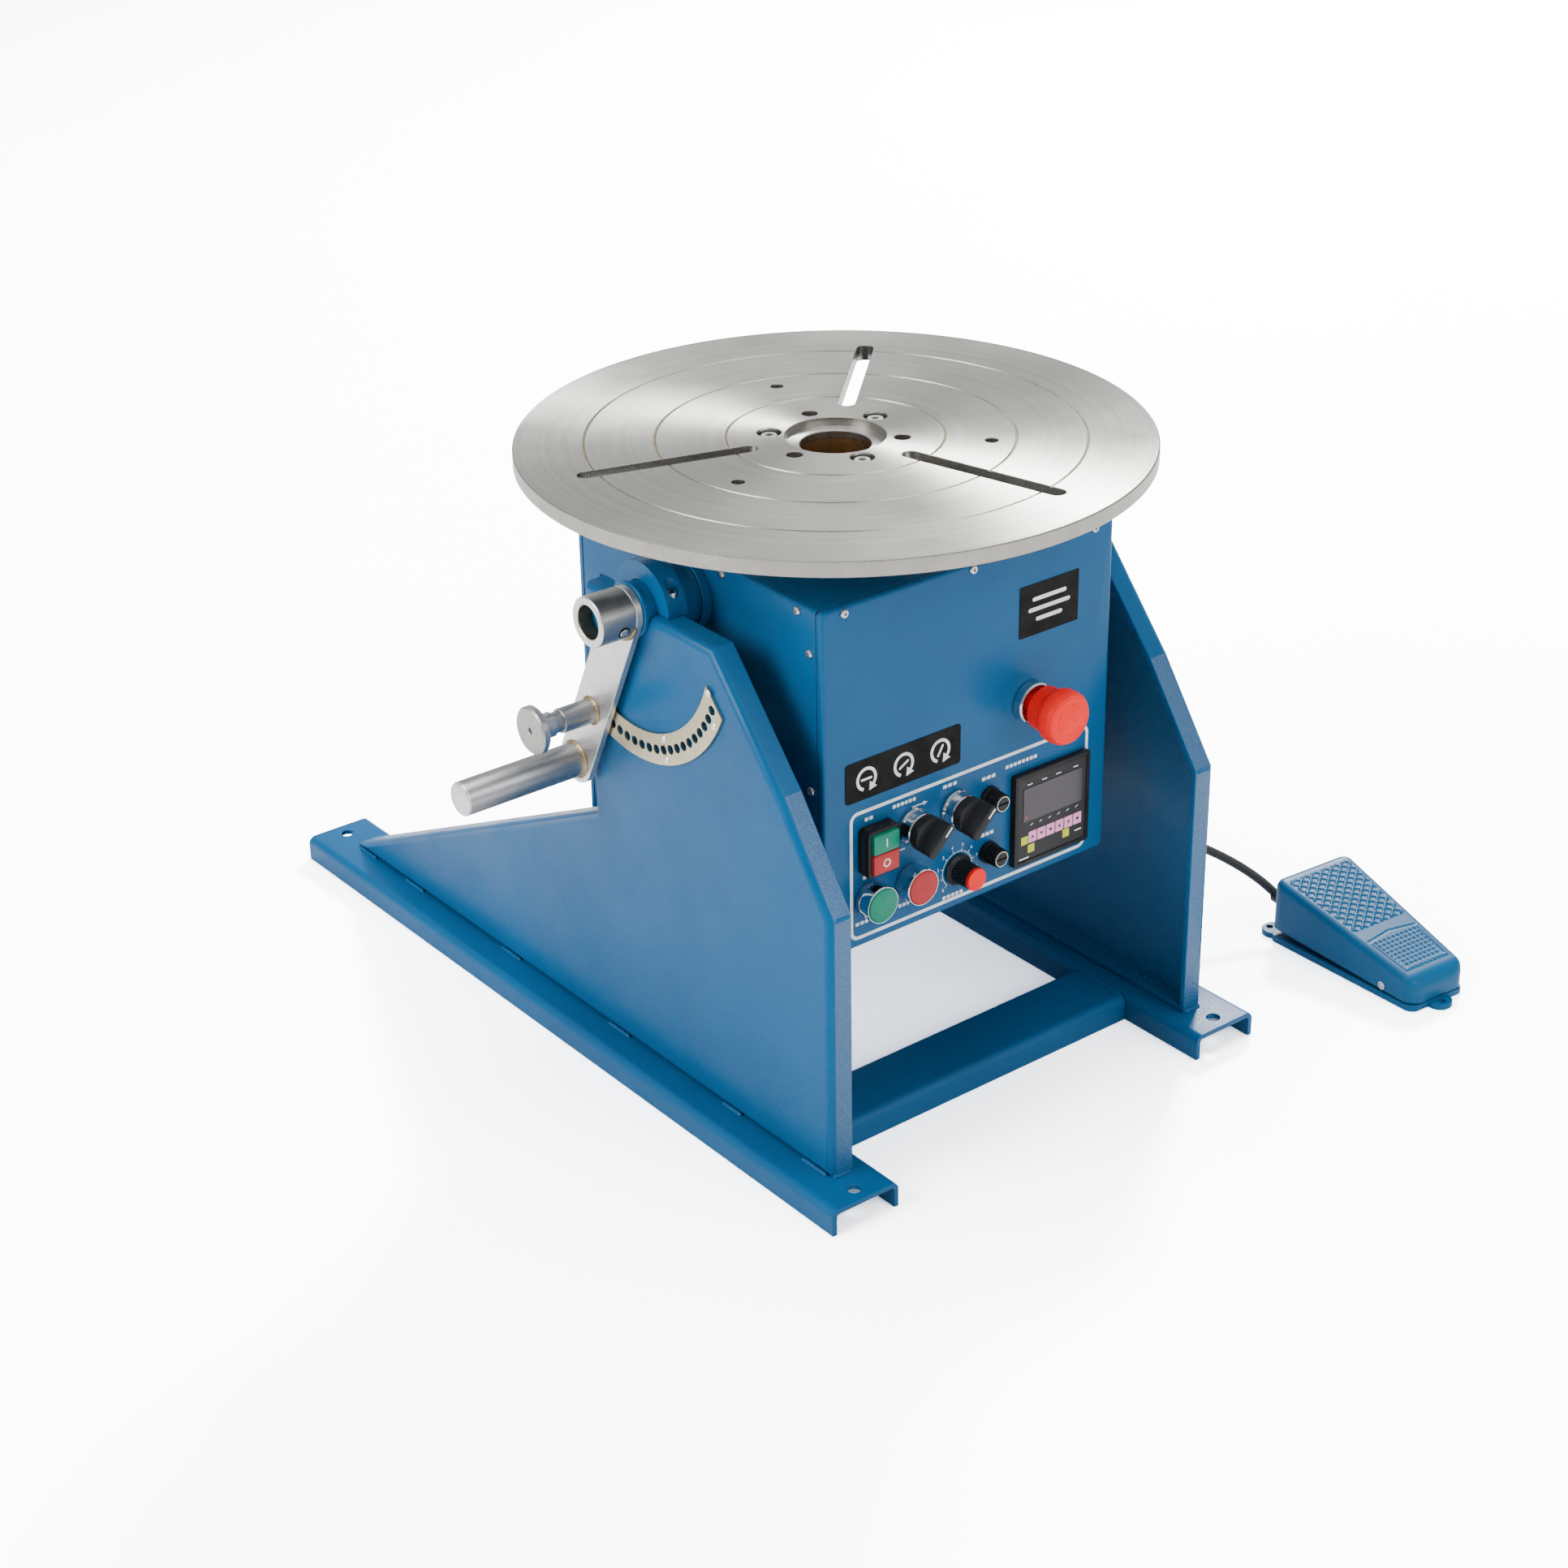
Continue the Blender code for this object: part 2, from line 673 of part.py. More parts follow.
def pedal_base():
    half = PEDAL_HALF_LENGTH
    reach = PEDAL_REAR_HALF_WIDTH
    outline = rounded_box((-reach, -half), (reach, half), 8.0)
    base = add_piece(
        "pedal_base", parked(tapered(prism(outline, "Z", 0.0, PEDAL_PLATE))), "pedal_paint", "machine"
    )
    added = [
        rod(EAR_R, (0.0, FRONT_EAR_Y), "Z", 0.0, PEDAL_PLATE - 1.0, 16),
        rod(EAR_R, REAR_EAR, "Z", 0.0, PEDAL_PLATE - 1.0, 16),
    ]
    for x in (-26.0, 26.0):
        added.append(box(
            (x - 2.0, PEDAL_PIN_Y - 7.0, 2.0), (x + 2.0, PEDAL_PIN_Y + 7.0, PEDAL_PIN_Z + 6.5)
        ))
    join(base, [parked(shell) for shell in added], "machine")
    holes = [
        rod(3.2, (0.0, FRONT_EAR_Y - 4.0), "Z", -THROUGH, PEDAL_PLATE, SMALL),
        rod(3.2, (REAR_EAR[0] - 2.0, REAR_EAR[1] + 4.0), "Z", -THROUGH, PEDAL_PLATE, SMALL),
        rod(2.6, (PEDAL_PIN_Y, PEDAL_PIN_Z), "X", -reach, reach, SMALL),
    ]
    cut(base, [parked(shell) for shell in holes], "machine")


def pedal_inside():
    pin = rod(2.1, (PEDAL_PIN_Y, PEDAL_PIN_Z), "X", -33.0, 33.0, SMALL)
    add_piece("pedal_pin", parked(pin), "zinc_steel", "machine")
    switch = box((-9.0, 0.0, PEDAL_PLATE + GAP), (9.0, 28.0, PEDAL_PLATE + 20.0))
    add_piece("pedal_switch", parked(switch), "black_plastic", "machine", smooth=False)
    spring = coil(7.0, 0.8, 4.0, PEDAL_PLATE + 1.2, 48.0, (0.0, 50.0), "Z", steps=8, around=4)
    add_piece("pedal_spring", parked(spring), "zinc_steel", "machine")


def bezier(points, count):
    """A cubic curve through its two end points, drawn toward the two points between them."""
    path = []
    for i in range(count + 1):
        t = i / count
        weights = ((1 - t) ** 3, 3 * t * (1 - t) ** 2, 3 * t * t * (1 - t), t ** 3)
        path.append(tuple(sum(w * p[k] for w, p in zip(weights, points)) for k in range(3)))
    return path


def foot_cable():
    """From the switch, out of the treadle's rear, up behind the right plate's edge and to its gland."""
    half = PEDAL_HALF_LENGTH
    start = pedal_place((CABLE_EXIT_X, half - 12.0, CABLE_EXIT_Z))
    leave = pedal_place((CABLE_EXIT_X, half + 8.0, CABLE_EXIT_Z + 1.0))
    toward = pedal_place((CABLE_EXIT_X - 8.0, half + 56.0, CABLE_EXIT_Z + 27.0))
    enter = (WEB_FACE + 80.0, GLAND_Y, GLAND_Z)
    mouth = (WEB_FACE + 24.0, GLAND_Y, GLAND_Z)
    end = (WEB_FACE + 6.0, GLAND_Y, GLAND_Z)
    path = [start] + bezier([leave, toward, enter, mouth], 13) + [end]
    add_piece("foot_cable", swept(path, CABLE_R, 8), "cable_rubber", "machine")
    bore = CABLE_R + 1.0
    profile = [
        (bore, WEB_FACE + GAP), (11.0, WEB_FACE + GAP), (11.0, WEB_FACE + 7.0), (9.0, WEB_FACE + 7.5),
        (9.0, WEB_FACE + 18.0), (7.0, WEB_FACE + 20.0), (bore, WEB_FACE + 20.0),
    ]
    add_piece("cable_gland", turned(profile, (GLAND_Y, GLAND_Z), "X", COARSE), "black_plastic", "machine")


def make_foot_switch():
    pedal_base()
    pedal_treadle()
    pedal_inside()
    foot_cable()


# ---------------------------------------------------------------- tilting housing

def housing_shell():
    """A four-sided wrapper, open at the front and rear, with the bearing hole in its top."""
    low, high = (-HOUSING_X, HOUSING_LOW), (HOUSING_X, HOUSING_TOP)
    front, rear = HOUSING_FRONT + COVER_DEPTH + GAP, HOUSING_REAR - COVER_DEPTH - GAP
    shell = add_piece(
        "housing_shell", prism(rounded_box(low, high, 4.0, 2), "Y", front, rear), "blue_paint", "tilt_axis"
    )
    inner_low, inner_high = (low[0] + SHEET, low[1] + SHEET), (high[0] - SHEET, high[1] - SHEET)
    hollow = prism(rounded_box(inner_low, inner_high, 1.0, 2), "Y", front - THROUGH, rear + THROUGH)
    top_hole = rod(58.0 + GAP, (0.0, 0.0), "Z", HOUSING_TOP - SHEET - 1.0, HOUSING_TOP + THROUGH, 40)
    wire_hole = rod(9.0, (0.0, TILT_Z), "X", HOUSING_X - SHEET - 1.0, HOUSING_X + THROUGH, COARSE)
    cut(shell, [hollow], "tilt_axis")
    cut_again(shell, [top_hole, wire_hole], "tilt_axis")


def cover_steps(face, inward):
    """A shallow pressed cover: round outer edge, short flange, open at the back."""
    bend, sheet = 3.0, 2.5
    profile = []
    for i in range(3):
        turn = math.radians(45.0 * i)
        profile.append((bend - bend * math.sin(turn), bend - bend * math.cos(turn)))
    profile += [(0.0, COVER_DEPTH), (sheet, COVER_DEPTH), (sheet, sheet)]
    return [(distance, face + inward * depth) for distance, depth in profile]


def housing_cover(name, face, inward):
    outline = rounded_box((-HOUSING_X, HOUSING_LOW), (HOUSING_X, HOUSING_TOP), 4.5, 2)
    return add_piece(name, layers(outline, cover_steps(face, inward), "Y"), "blue_paint", "tilt_axis")


def trunnion(name, side):
    """The flange, hub and stub shaft that the housing tilts on."""
    reach = SHAFT_END if side < 0 else ARM_BACK + 2.0
    face = HOUSING_X + GAP
    profile = [
        (0.0, face), (TRUNNION_FLANGE_R, face), (TRUNNION_FLANGE_R, face + 6.5),
        (TRUNNION_FLANGE_R - 1.5, face + 8.0),
        (TRUNNION_HUB_R, face + 8.0), (TRUNNION_HUB_R, face + 24.0), (SHAFT_R, face + 24.0),
        (SHAFT_R, reach - 1.0), (SHAFT_R - 1.0, reach), (0.0, reach),
    ]
    if side > 0:
        bore_r = 8.0
        profile[0] = (bore_r, face)
        profile[-1] = (bore_r, reach)
    shell = turned(profile, (0.0, TILT_Z), "X", MEDIUM)
    add_piece(name, shell if side > 0 else mirrored(shell), "blue_paint", "tilt_axis")


def panel_cutter(name):
    """The hole in the front panel for one control."""
    x, z = PANEL_AXES[name]
    radius = 4.5 if name == "speed" else 6.5 if "fuse" in name else 11.0
    return rod(radius, (x, z), "Y", HOUSING_FRONT - THROUGH, HOUSING_FRONT + 4.0, COARSE)


def front_panel():
    panel = housing_cover("front_panel", HOUSING_FRONT, 1.0)
    holes = [panel_cutter(name) for name in PANEL_AXES if "key" not in name]
    for low, high in (SWITCH_BODY, DISPLAY_BODY):
        wide_low, wide_high = (low[0] - GAP, low[1] - GAP), (high[0] + GAP, high[1] + GAP)
        holes.append(prism(rounded_box(wide_low, wide_high, 1.0, 1), "Y",
                           HOUSING_FRONT - THROUGH, HOUSING_FRONT + 4.0))
    cut(panel, holes, "tilt_axis")


def make_housing():
    housing_shell()
    front_panel()
    housing_cover("rear_cover", HOUSING_REAR, -1.0)
    trunnion("left_trunnion", -1)
    trunnion("right_trunnion", 1)
    board = box((-135.0, -40.0, 190.0), (-133.4, 100.0, 330.0))
    add_piece("control_board", board, "board_green", "tilt_axis", smooth=False)


# ---------------------------------------------------------------- lever and index plunger

def left_prism(outline, near, far):
    """A prism on the lever side, between two distances from the middle plane."""
    return prism(outline, "X", -far, -near)


def left_turned(profile, centre, steps):
    return mirrored(turned(profile, centre, "X", steps))


def lever():
    hub = (0.0, TILT_Z)
    pin = index_point(INDEX_R, -ARM_ANGLE)
    tip = index_point(GRIP_RING_R, -ARM_ANGLE)
    blade = left_prism(capsule(hub, tip, ARM_HALF_WIDTH, COARSE), ARM_BACK, ARM_FACE)
    arm = add_piece("lever_arm", blade, "zinc_steel", "tilt_axis")
    cut(arm, [
        rod(SLEEVE_BORE_R, hub, "X", -ARM_FACE - THROUGH, -ARM_BACK + THROUGH, MEDIUM),
        rod(PIN_R + 0.8, pin, "X", -ARM_FACE - THROUGH, -ARM_BACK + THROUGH, COARSE),
    ], "tilt_axis")
    start = ARM_FACE + GAP
    sleeve = [
        (SLEEVE_BORE_R, start), (SLEEVE_R, start), (SLEEVE_R, SLEEVE_END - 1.0), (SLEEVE_R - 1.0, SLEEVE_END),
        (SLEEVE_BORE_R + 0.6, SLEEVE_END), (SLEEVE_BORE_R, SLEEVE_END - 0.6),
    ]
    add_piece("lever_sleeve", left_turned(sleeve, hub, MEDIUM), "zinc_steel", "tilt_axis")
    grip = [
        (0.0, start), (GRIP_R, start), (GRIP_R, GRIP_END - 2.0), (GRIP_R - 2.0, GRIP_END), (0.0, GRIP_END),
    ]
    add_piece("lever_grip", left_turned(grip, tip, MEDIUM), "zinc_steel", "tilt_axis")


def plunger():
    """A pin in its guide tube; the knob's skirt runs in over the guide's nose by the pin's travel."""
    pin = index_point(INDEX_R, -ARM_ANGLE)
    start, shoulder, nose = ARM_FACE + GAP, GUIDE_SHOULDER, GUIDE_NOSE
    bore, nose_r, end_bore = 6.2, 8.4, PIN_R + 0.4
    guide = [
        (bore, start), (10.0, start), (10.0, shoulder), (nose_r, shoulder), (nose_r, nose),
        (end_bore, nose), (end_bore, nose - 5.0), (bore, nose - 5.0),
    ]
    add_piece("plunger_guide", left_turned(guide, pin, COARSE), "zinc_steel", "tilt_axis")
    tip, disc = SCALE_FACE + 0.5, KNOB_DISC
    knob = [
        (0.0, tip), (PIN_R - 0.8, tip), (PIN_R, tip + 1.5), (PIN_R, 216.0), (5.6, 216.0), (5.6, 218.5),
        (PIN_R, 218.5), (PIN_R, disc), (nose_r + GAP, disc), (nose_r + GAP, disc - 12.5), (10.0, disc - 12.5),
        (10.0, disc), (18.5, disc), (19.5, disc + 1.0), (19.5, disc + 6.0), (18.5, disc + 7.0),
        (2.0, disc + 7.0), (2.0, disc + 4.0), (0.0, disc + 4.0),
    ]
    add_piece("index_plunger", left_turned(knob, pin, COARSE), "zinc_steel", "plunger_axis")
    spring = mirrored(coil(4.6, 0.6, 5.0, 220.5, nose - 6.5, pin, "X", steps=8, around=4))
    add_piece("plunger_spring", spring, "zinc_steel", "tilt_axis")


# ---------------------------------------------------------------- spindle and drive

def bearings():
    low, top = HOUSING_TOP - 21.0, HOUSING_TOP + 26.0
    lower, upper = low + 2.0, top - 2.0 - BEARING_WIDTH
    flange = (HOUSING_TOP + GAP, HOUSING_TOP + 10.0, 80.0)
    profile = [
        (BEARING_R, low), (58.0, low), (58.0, flange[0]), (flange[2], flange[0]), (flange[2], flange[1]),
        (58.0, flange[1]), (58.0, top), (BEARING_R, top),
        (BEARING_R, upper - GAP), (42.0, upper - GAP), (42.0, lower + BEARING_WIDTH + GAP),
        (BEARING_R, lower + BEARING_WIDTH + GAP),
    ]
    add_piece("bearing_housing", turned(profile, (0.0, 0.0), "Z", 32), "dark_steel", "tilt_axis")
    for name, start in (("lower_bearing", lower), ("upper_bearing", upper)):
        end = start + BEARING_WIDTH
        ring = [
            (SPINDLE_R + GAP, start), (BEARING_R - GAP, start),
            (BEARING_R - GAP, end), (SPINDLE_R + GAP, end),
        ]
        add_piece(name, turned(ring, (0.0, 0.0), "Z", 32), "bearing_steel", "tilt_axis")


def spindle():
    under = TABLE_TOP - TABLE_THICK - GAP
    profile = [
        (SPINDLE_BORE_R, SPINDLE_BOTTOM), (SPINDLE_R, SPINDLE_BOTTOM), (SPINDLE_R, under - 9.0),
        (SPINDLE_FLANGE_R, under - 9.0), (SPINDLE_FLANGE_R, under),
        (SPINDLE_BORE_R, under),
    ]
    piece = add_piece("spindle", turned(profile, (0.0, 0.0), "Z", 32), "bronze", "table_axis")
    holes = []
    for angle in SCREW_ANGLES:
        centre = polar((0.0, 0.0), BOLT_RING_R, math.radians(angle))
        holes.append(rod(4.3, centre, "Z", under - 9.0 - THROUGH, under + THROUGH, SMALL))
    cut(piece, holes, "table_axis")


def table_profile():
    top, low = TABLE_TOP, TABLE_TOP - TABLE_THICK
    profile = [
        (SPINDLE_BORE_R, low), (TABLE_R - 1.0, low), (TABLE_R, low + 1.0),
        (TABLE_R, top - 1.0), (TABLE_R - 1.0, top),
    ]
    for radius in reversed(TABLE_GROOVES):
        half = GROOVE_WIDTH / 2.0
        profile += [(radius + half, top), (radius, top - GROOVE_DEPTH), (radius - half, top)]
    profile += [
        (RECESS_R, top), (RECESS_R, top - RECESS_DEPTH),
        (SPINDLE_BORE_R, top - RECESS_DEPTH),
    ]
    return profile


def table():
    piece = add_piece(
        "table", turned(table_profile(), (0.0, 0.0), "Z", FINE), "machined_steel", "table_axis"
    )
    low, high = TABLE_TOP - TABLE_THICK - THROUGH, TABLE_TOP + THROUGH
    shells = []
    for angle in SLOT_ANGLES:
        turn = math.radians(angle)
        inner = polar((0.0, 0.0), SLOT_IN + SLOT_WIDTH / 2.0, turn)
        outer = polar((0.0, 0.0), SLOT_OUT - SLOT_WIDTH / 2.0, turn)
        shells.append(prism(capsule(inner, outer, SLOT_WIDTH / 2.0, 6), "Z", low, high))
    for angle in TAPPED_ANGLES:
        turn = math.radians(angle)
        shells.append(rod(TAPPED_R, polar((0.0, 0.0), BOLT_RING_R, turn), "Z", low, high, SMALL))
        shells.append(rod(OUTER_HOLE_R, polar((0.0, 0.0), OUTER_HOLE_RING_R, turn), "Z", low, high, SMALL))
    for angle in SCREW_ANGLES:
        centre = polar((0.0, 0.0), BOLT_RING_R, math.radians(angle))
        well = [
            (0.0, low), (5.2, low), (5.2, TABLE_TOP - 9.0),
            (10.0, TABLE_TOP - 9.0), (10.0, high), (0.0, high),
        ]
        shells.append(turned(well, centre, "Z", 16))
    cut(piece, shells, "table_axis")


def gears():
    centre = (0.0, 0.0)
    toward = math.pi / 2.0
    outline = gear_outline(GEAR_TEETH, centre, toward)
    gear = add_piece("spindle_gear", prism(outline, "Z", GEAR_LOW, GEAR_HIGH), "dark_steel", "table_axis")
    bore = rod(SPINDLE_R + GAP, centre, "Z", GEAR_LOW - THROUGH, GEAR_HIGH + THROUGH, 32)
    cut(gear, [bore], "table_axis")
    space = -toward + math.pi / PINION_TEETH
    outline = gear_outline(PINION_TEETH, (0.0, PINION_Y), space)
    wheel = prism(outline, "Z", GEAR_LOW, GEAR_HIGH)
    pinion = add_piece("motor_pinion", wheel, "bearing_steel", "pinion_axis")
    shaft = rod(5.0, (0.0, PINION_Y), "Z", GEAR_LOW - 28.0, GEAR_LOW + 5.0, COARSE)
    join(pinion, [shaft], "pinion_axis")


def motor_unit():
    plate_low, plate_high = 394.0, 398.0
    leg = 109.0
    foot_top = HOUSING_TOP - SHEET - GAP
    outline = [
        (45.0, plate_low), (leg + 4.0, plate_low), (leg + 4.0, foot_top - 4.0),
        (leg + 24.0, foot_top - 4.0),
        (leg + 24.0, foot_top), (leg, foot_top), (leg, plate_high), (45.0, plate_high),
    ]
    bracket = add_piece("motor_bracket", prism(outline, "X", -35.0, 35.0), "zinc_steel", "tilt_axis")
    boss_hole = rod(8.0, (0.0, PINION_Y), "Z", plate_low - THROUGH, plate_high + THROUGH, COARSE)
    cut(bracket, [boss_hole], "tilt_axis")
    top = plate_low - GAP
    low, high = (-30.0, PINION_Y - 29.0), (30.0, PINION_Y + 29.0)
    gearbox = add_piece(
        "gearbox", prism(rounded_box(low, high, 5.0), "Z", top - 48.0, top), "dark_steel", "tilt_axis"
    )
    cut(gearbox, [rod(5.5, (0.0, PINION_Y), "Z", top - 24.0, top + THROUGH, COARSE)], "tilt_axis")
    end = top - 48.0 - GAP
    profile = [(0.0, end), (27.0, end), (27.0, end - 92.0), (24.0, end - 96.0), (0.0, end - 96.0)]
    add_piece("drive_motor", turned(profile, (0.0, PINION_Y), "Z", MEDIUM), "dark_steel", "tilt_axis")


def make_drive():
    bearings()
    spindle()
    table()
    gears()
    motor_unit()


# ---------------------------------------------------------------- controls, by height over the front panel

PANEL_AXES = {
    "estop": (60.0, 320.0),
    "direction": (-58.0, 250.0),
    "auto": (-14.5, 251.0),
    "start": (-101.5, 203.0),
    "stop": (-61.0, 204.0),
    "speed": (-12.0, 196.0),
    "upper_fuse": (20.0, 249.0),
    "lower_fuse": (19.5, 200.5),
    "on_key": (-96.0, 254.6),
    "off_key": (-96.0, 237.4),
}
SWITCH_FRAME = ((-112.0, 226.0), (-80.0, 266.0))
SWITCH_BODY = ((-109.5, 228.5), (-82.5, 263.5))
SWITCH_HEIGHT = 12.0
KEY_HALF = (12.6, 8.2)
KEY_HEIGHT = 15.0
DISPLAY_BEZEL = ((43.0, 178.0), (123.0, 259.0))
DISPLAY_BODY = ((47.0, 182.5), (119.0, 254.5))
DISPLAY_HEIGHT = 6.0
DISPLAY_DEPTH = 62.0
DISPLAY_CORNER = 2.0
SELECTOR_TURN = 45.0


def out(height):
    """The Y of a point at a height over the front panel's face."""
    return HOUSING_FRONT - height


def panel_turned(name, profile, steps=16):
    heights = [(radius, out(height)) for radius, height in profile]
    return turned(heights, PANEL_AXES[name], "Y", steps)


def emergency_stop():
    base = [
        (0.0, -55.0), (14.0, -55.0), (14.0, -3.0), (10.6, -3.0), (10.6, GAP), (17.0, GAP), (17.0, 8.5),
        (16.0, 9.5), (8.4, 9.5), (8.4, -32.0), (0.0, -32.0),
    ]
    add_piece("estop_base", panel_turned("estop", base), "chrome", "tilt_axis")
    head = [
        (0.0, -20.0), (8.0, -20.0), (8.0, 16.0), (17.0, 16.0), (18.0, 17.5), (18.0, 31.0), (21.0, 32.5),
        (22.0, 35.0), (22.0, 42.0), (21.0, 45.5), (18.0, 47.8), (10.0, 48.8), (0.0, 49.0),
    ]
    add_piece("estop_head", panel_turned("estop", head), "red_plastic", "estop_axis")


def selector(name):
    base = [
        (0.0, -45.0), (14.0, -45.0), (14.0, -3.0), (10.6, -3.0), (10.6, GAP), (15.4, GAP), (15.4, 3.0),
        (14.2, 4.0), (14.2, 12.0), (13.4, 12.6), (6.4, 12.6), (6.4, -20.0), (0.0, -20.0),
    ]
    add_piece(name + "_base", panel_turned(name, base), "chrome", "tilt_axis")
    disc = [
        (0.0, -12.0), (6.0, -12.0), (6.0, 13.2), (16.5, 13.2), (16.5, 21.0), (15.5, 22.0), (0.0, 22.0),
    ]
    axis = name + "_axis"
    knob = add_piece(name + "_knob", panel_turned(name, disc), "black_plastic", axis)
    x, z = PANEL_AXES[name]
    turn = math.radians(SELECTOR_TURN)
    along, across = (math.cos(turn), math.sin(turn)), (-math.sin(turn), math.cos(turn))
    ridge = []
    for height, length, width in ((20.0, 16.3, 6.0), (34.0, 15.8, 4.6), (35.0, 15.0, 4.0)):
        ring = []
        for a, b in ((-1, -1), (1, -1), (1, 1), (-1, 1)):
            ring.append((
                x + along[0] * a * length + across[0] * b * width, out(height),
                z + along[1] * a * length + across[1] * b * width,
            ))
        ridge.append(ring)
    join(knob, [loft(ridge)], axis)


def push_button(name, colour):
    sleeve = [
        (0.0, -50.0), (14.0, -50.0), (14.0, -3.0), (10.6, -3.0), (10.6, GAP), (14.2, GAP), (14.2, 4.5),
        (15.4, 7.0), (15.4, 17.0), (14.3, 17.0), (14.3, 8.4), (8.8, 8.4), (8.8, -30.0),
        (0.0, -30.0),
    ]
    add_piece(name + "_bezel", panel_turned(name, sleeve), "chrome", "tilt_axis")
    cap = [
        (0.0, -20.0), (8.4, -20.0), (8.4, 12.0), (14.0, 12.0), (14.0, 17.3), (13.4, 18.0), (0.0, 18.0),
    ]
    add_piece(name + "_button", panel_turned(name, cap), colour, name + "_axis")


def fuse(name):
    holder = [
        (0.0, -40.0), (7.5, -40.0), (7.5, -3.0), (6.1, -3.0), (6.1, GAP), (9.2, GAP), (9.2, 4.0),
        (8.6, 4.6), (5.3, 4.6), (5.3, -28.0), (0.0, -28.0),
    ]
    add_piece(name + "_holder", panel_turned(name, holder, COARSE), "black_plastic", "tilt_axis")
    cap = [(0.0, -24.0), (4.9, -24.0), (4.9, 5.0), (8.4, 5.0), (8.0, 16.0), (7.2, 17.0), (0.0, 17.0)]
    add_piece(name + "_cap", panel_turned(name, cap, COARSE), "black_plastic", name + "_axis")


def speed_control():
    pot = [
        (0.0, -28.0), (12.0, -28.0), (12.0, -3.0), (4.2, -3.0), (4.2, 5.0), (3.4, 5.0),
        (3.4, -16.0), (0.0, -16.0),
    ]
    add_piece("speed_control", panel_turned("speed", pot, COARSE), "zinc_steel", "tilt_axis")
    knob = [
        (0.0, -12.0), (3.0, -12.0), (3.0, 6.0), (4.7, 6.0), (4.7, 0.8), (13.0, 0.8), (13.0, 2.4), (10.4, 4.0),
        (9.8, 22.0), (9.4, 24.0), (0.0, 24.0),
    ]
    add_piece("speed_knob", panel_turned("speed", knob), "black_plastic", "speed_axis")


def panel_layers(outline, steps):
    return layers(outline, [(distance, out(height)) for distance, height in steps], "Y")


def power_switch():
    low, high = SWITCH_FRAME
    border = SWITCH_BODY[0][0] - low[0]
    frame = rounded_box(low, high, 4.0, 2)
    steps = [
        (border, -40.0), (border, GAP), (0.0, GAP), (0.0, SWITCH_HEIGHT - 1.0), (1.0, SWITCH_HEIGHT),
        (border + 0.3, SWITCH_HEIGHT), (border + 0.3, -6.0),
    ]
    add_piece("switch_frame", panel_layers(frame, steps), "black_plastic", "tilt_axis")
    for name, colour in (("on_key", "green_plastic"), ("off_key", "red_plastic")):
        x, z = PANEL_AXES[name]
        outline = rounded_box((x - KEY_HALF[0], z - KEY_HALF[1]), (x + KEY_HALF[0], z + KEY_HALF[1]), 1.5, 2)
        key_steps = [(0.0, -3.0), (0.0, KEY_HEIGHT - 0.8), (0.8, KEY_HEIGHT)]
        add_piece(name, panel_layers(outline, key_steps), colour, name + "_axis")


def display_unit():
    """A counter with a bezel in front of the panel, a body behind it and a sunk window."""
    (low_x, low_z), (high_x, high_z) = DISPLAY_BEZEL
    inner = DISPLAY_BODY[0][0] - low_x + 0.5
    steps = [
        (inner, -DISPLAY_DEPTH), (inner, GAP), (0.0, GAP), (0.0, DISPLAY_HEIGHT - 0.8), (0.8, DISPLAY_HEIGHT),
        (4.0, DISPLAY_HEIGHT), (4.6, DISPLAY_HEIGHT - 1.2),
    ]
    rings = []
    for distance, height in steps:
        low, high = (low_x + distance, low_z + distance), (high_x - distance, high_z - distance)
        corners = rounded_box(low, high, max(DISPLAY_CORNER - distance, 0.5), 2)
        rings.append([to_space("Y", a, b, out(height)) for a, b in corners])
    add_piece("display_unit", loft(rings), "black_plastic", "tilt_axis")


def make_controls():
    emergency_stop()
    selector("direction")
    selector("auto")
    push_button("start", "green_plastic")
    push_button("stop", "red_plastic")
    fuse("upper_fuse")
    fuse("lower_fuse")
    speed_control()
    power_switch()
    display_unit()


def main():
    clear_scene()
    make_materials()
    make_carriers()
    make_stand()
    make_foot_switch()
    make_housing()
    lever()
    plunger()
    make_drive()
    make_controls()


main()
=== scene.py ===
"""The looks of a tilting rotary table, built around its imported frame.

Points are in millimetres in the machine's own frame, whose Z axis is the table's axis and whose floor is
Z = 0; at() turns them into the row frame. -Y is the control panel's side and -X the lever's side.
"""

import json
import math

import bmesh
import bpy
from mathutils import Matrix, Vector, noise


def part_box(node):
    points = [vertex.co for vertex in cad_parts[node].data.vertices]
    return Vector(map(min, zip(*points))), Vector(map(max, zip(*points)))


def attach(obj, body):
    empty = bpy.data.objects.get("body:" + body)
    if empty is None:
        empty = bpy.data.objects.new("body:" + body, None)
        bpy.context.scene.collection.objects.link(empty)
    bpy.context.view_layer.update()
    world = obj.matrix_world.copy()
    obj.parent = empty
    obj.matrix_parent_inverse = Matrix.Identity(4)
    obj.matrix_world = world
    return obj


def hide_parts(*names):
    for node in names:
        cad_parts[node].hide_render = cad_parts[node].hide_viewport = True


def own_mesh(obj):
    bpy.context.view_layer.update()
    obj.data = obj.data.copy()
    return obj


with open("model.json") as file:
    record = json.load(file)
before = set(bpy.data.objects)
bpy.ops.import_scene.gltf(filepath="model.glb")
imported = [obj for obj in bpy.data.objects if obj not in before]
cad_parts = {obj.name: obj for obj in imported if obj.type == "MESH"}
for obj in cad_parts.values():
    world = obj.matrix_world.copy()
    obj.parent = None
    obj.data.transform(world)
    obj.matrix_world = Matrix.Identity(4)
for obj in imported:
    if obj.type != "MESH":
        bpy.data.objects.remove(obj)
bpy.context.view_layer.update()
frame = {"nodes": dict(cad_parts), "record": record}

MM = 0.001
THROUGH = 2.0
FACET = math.radians(32.0)

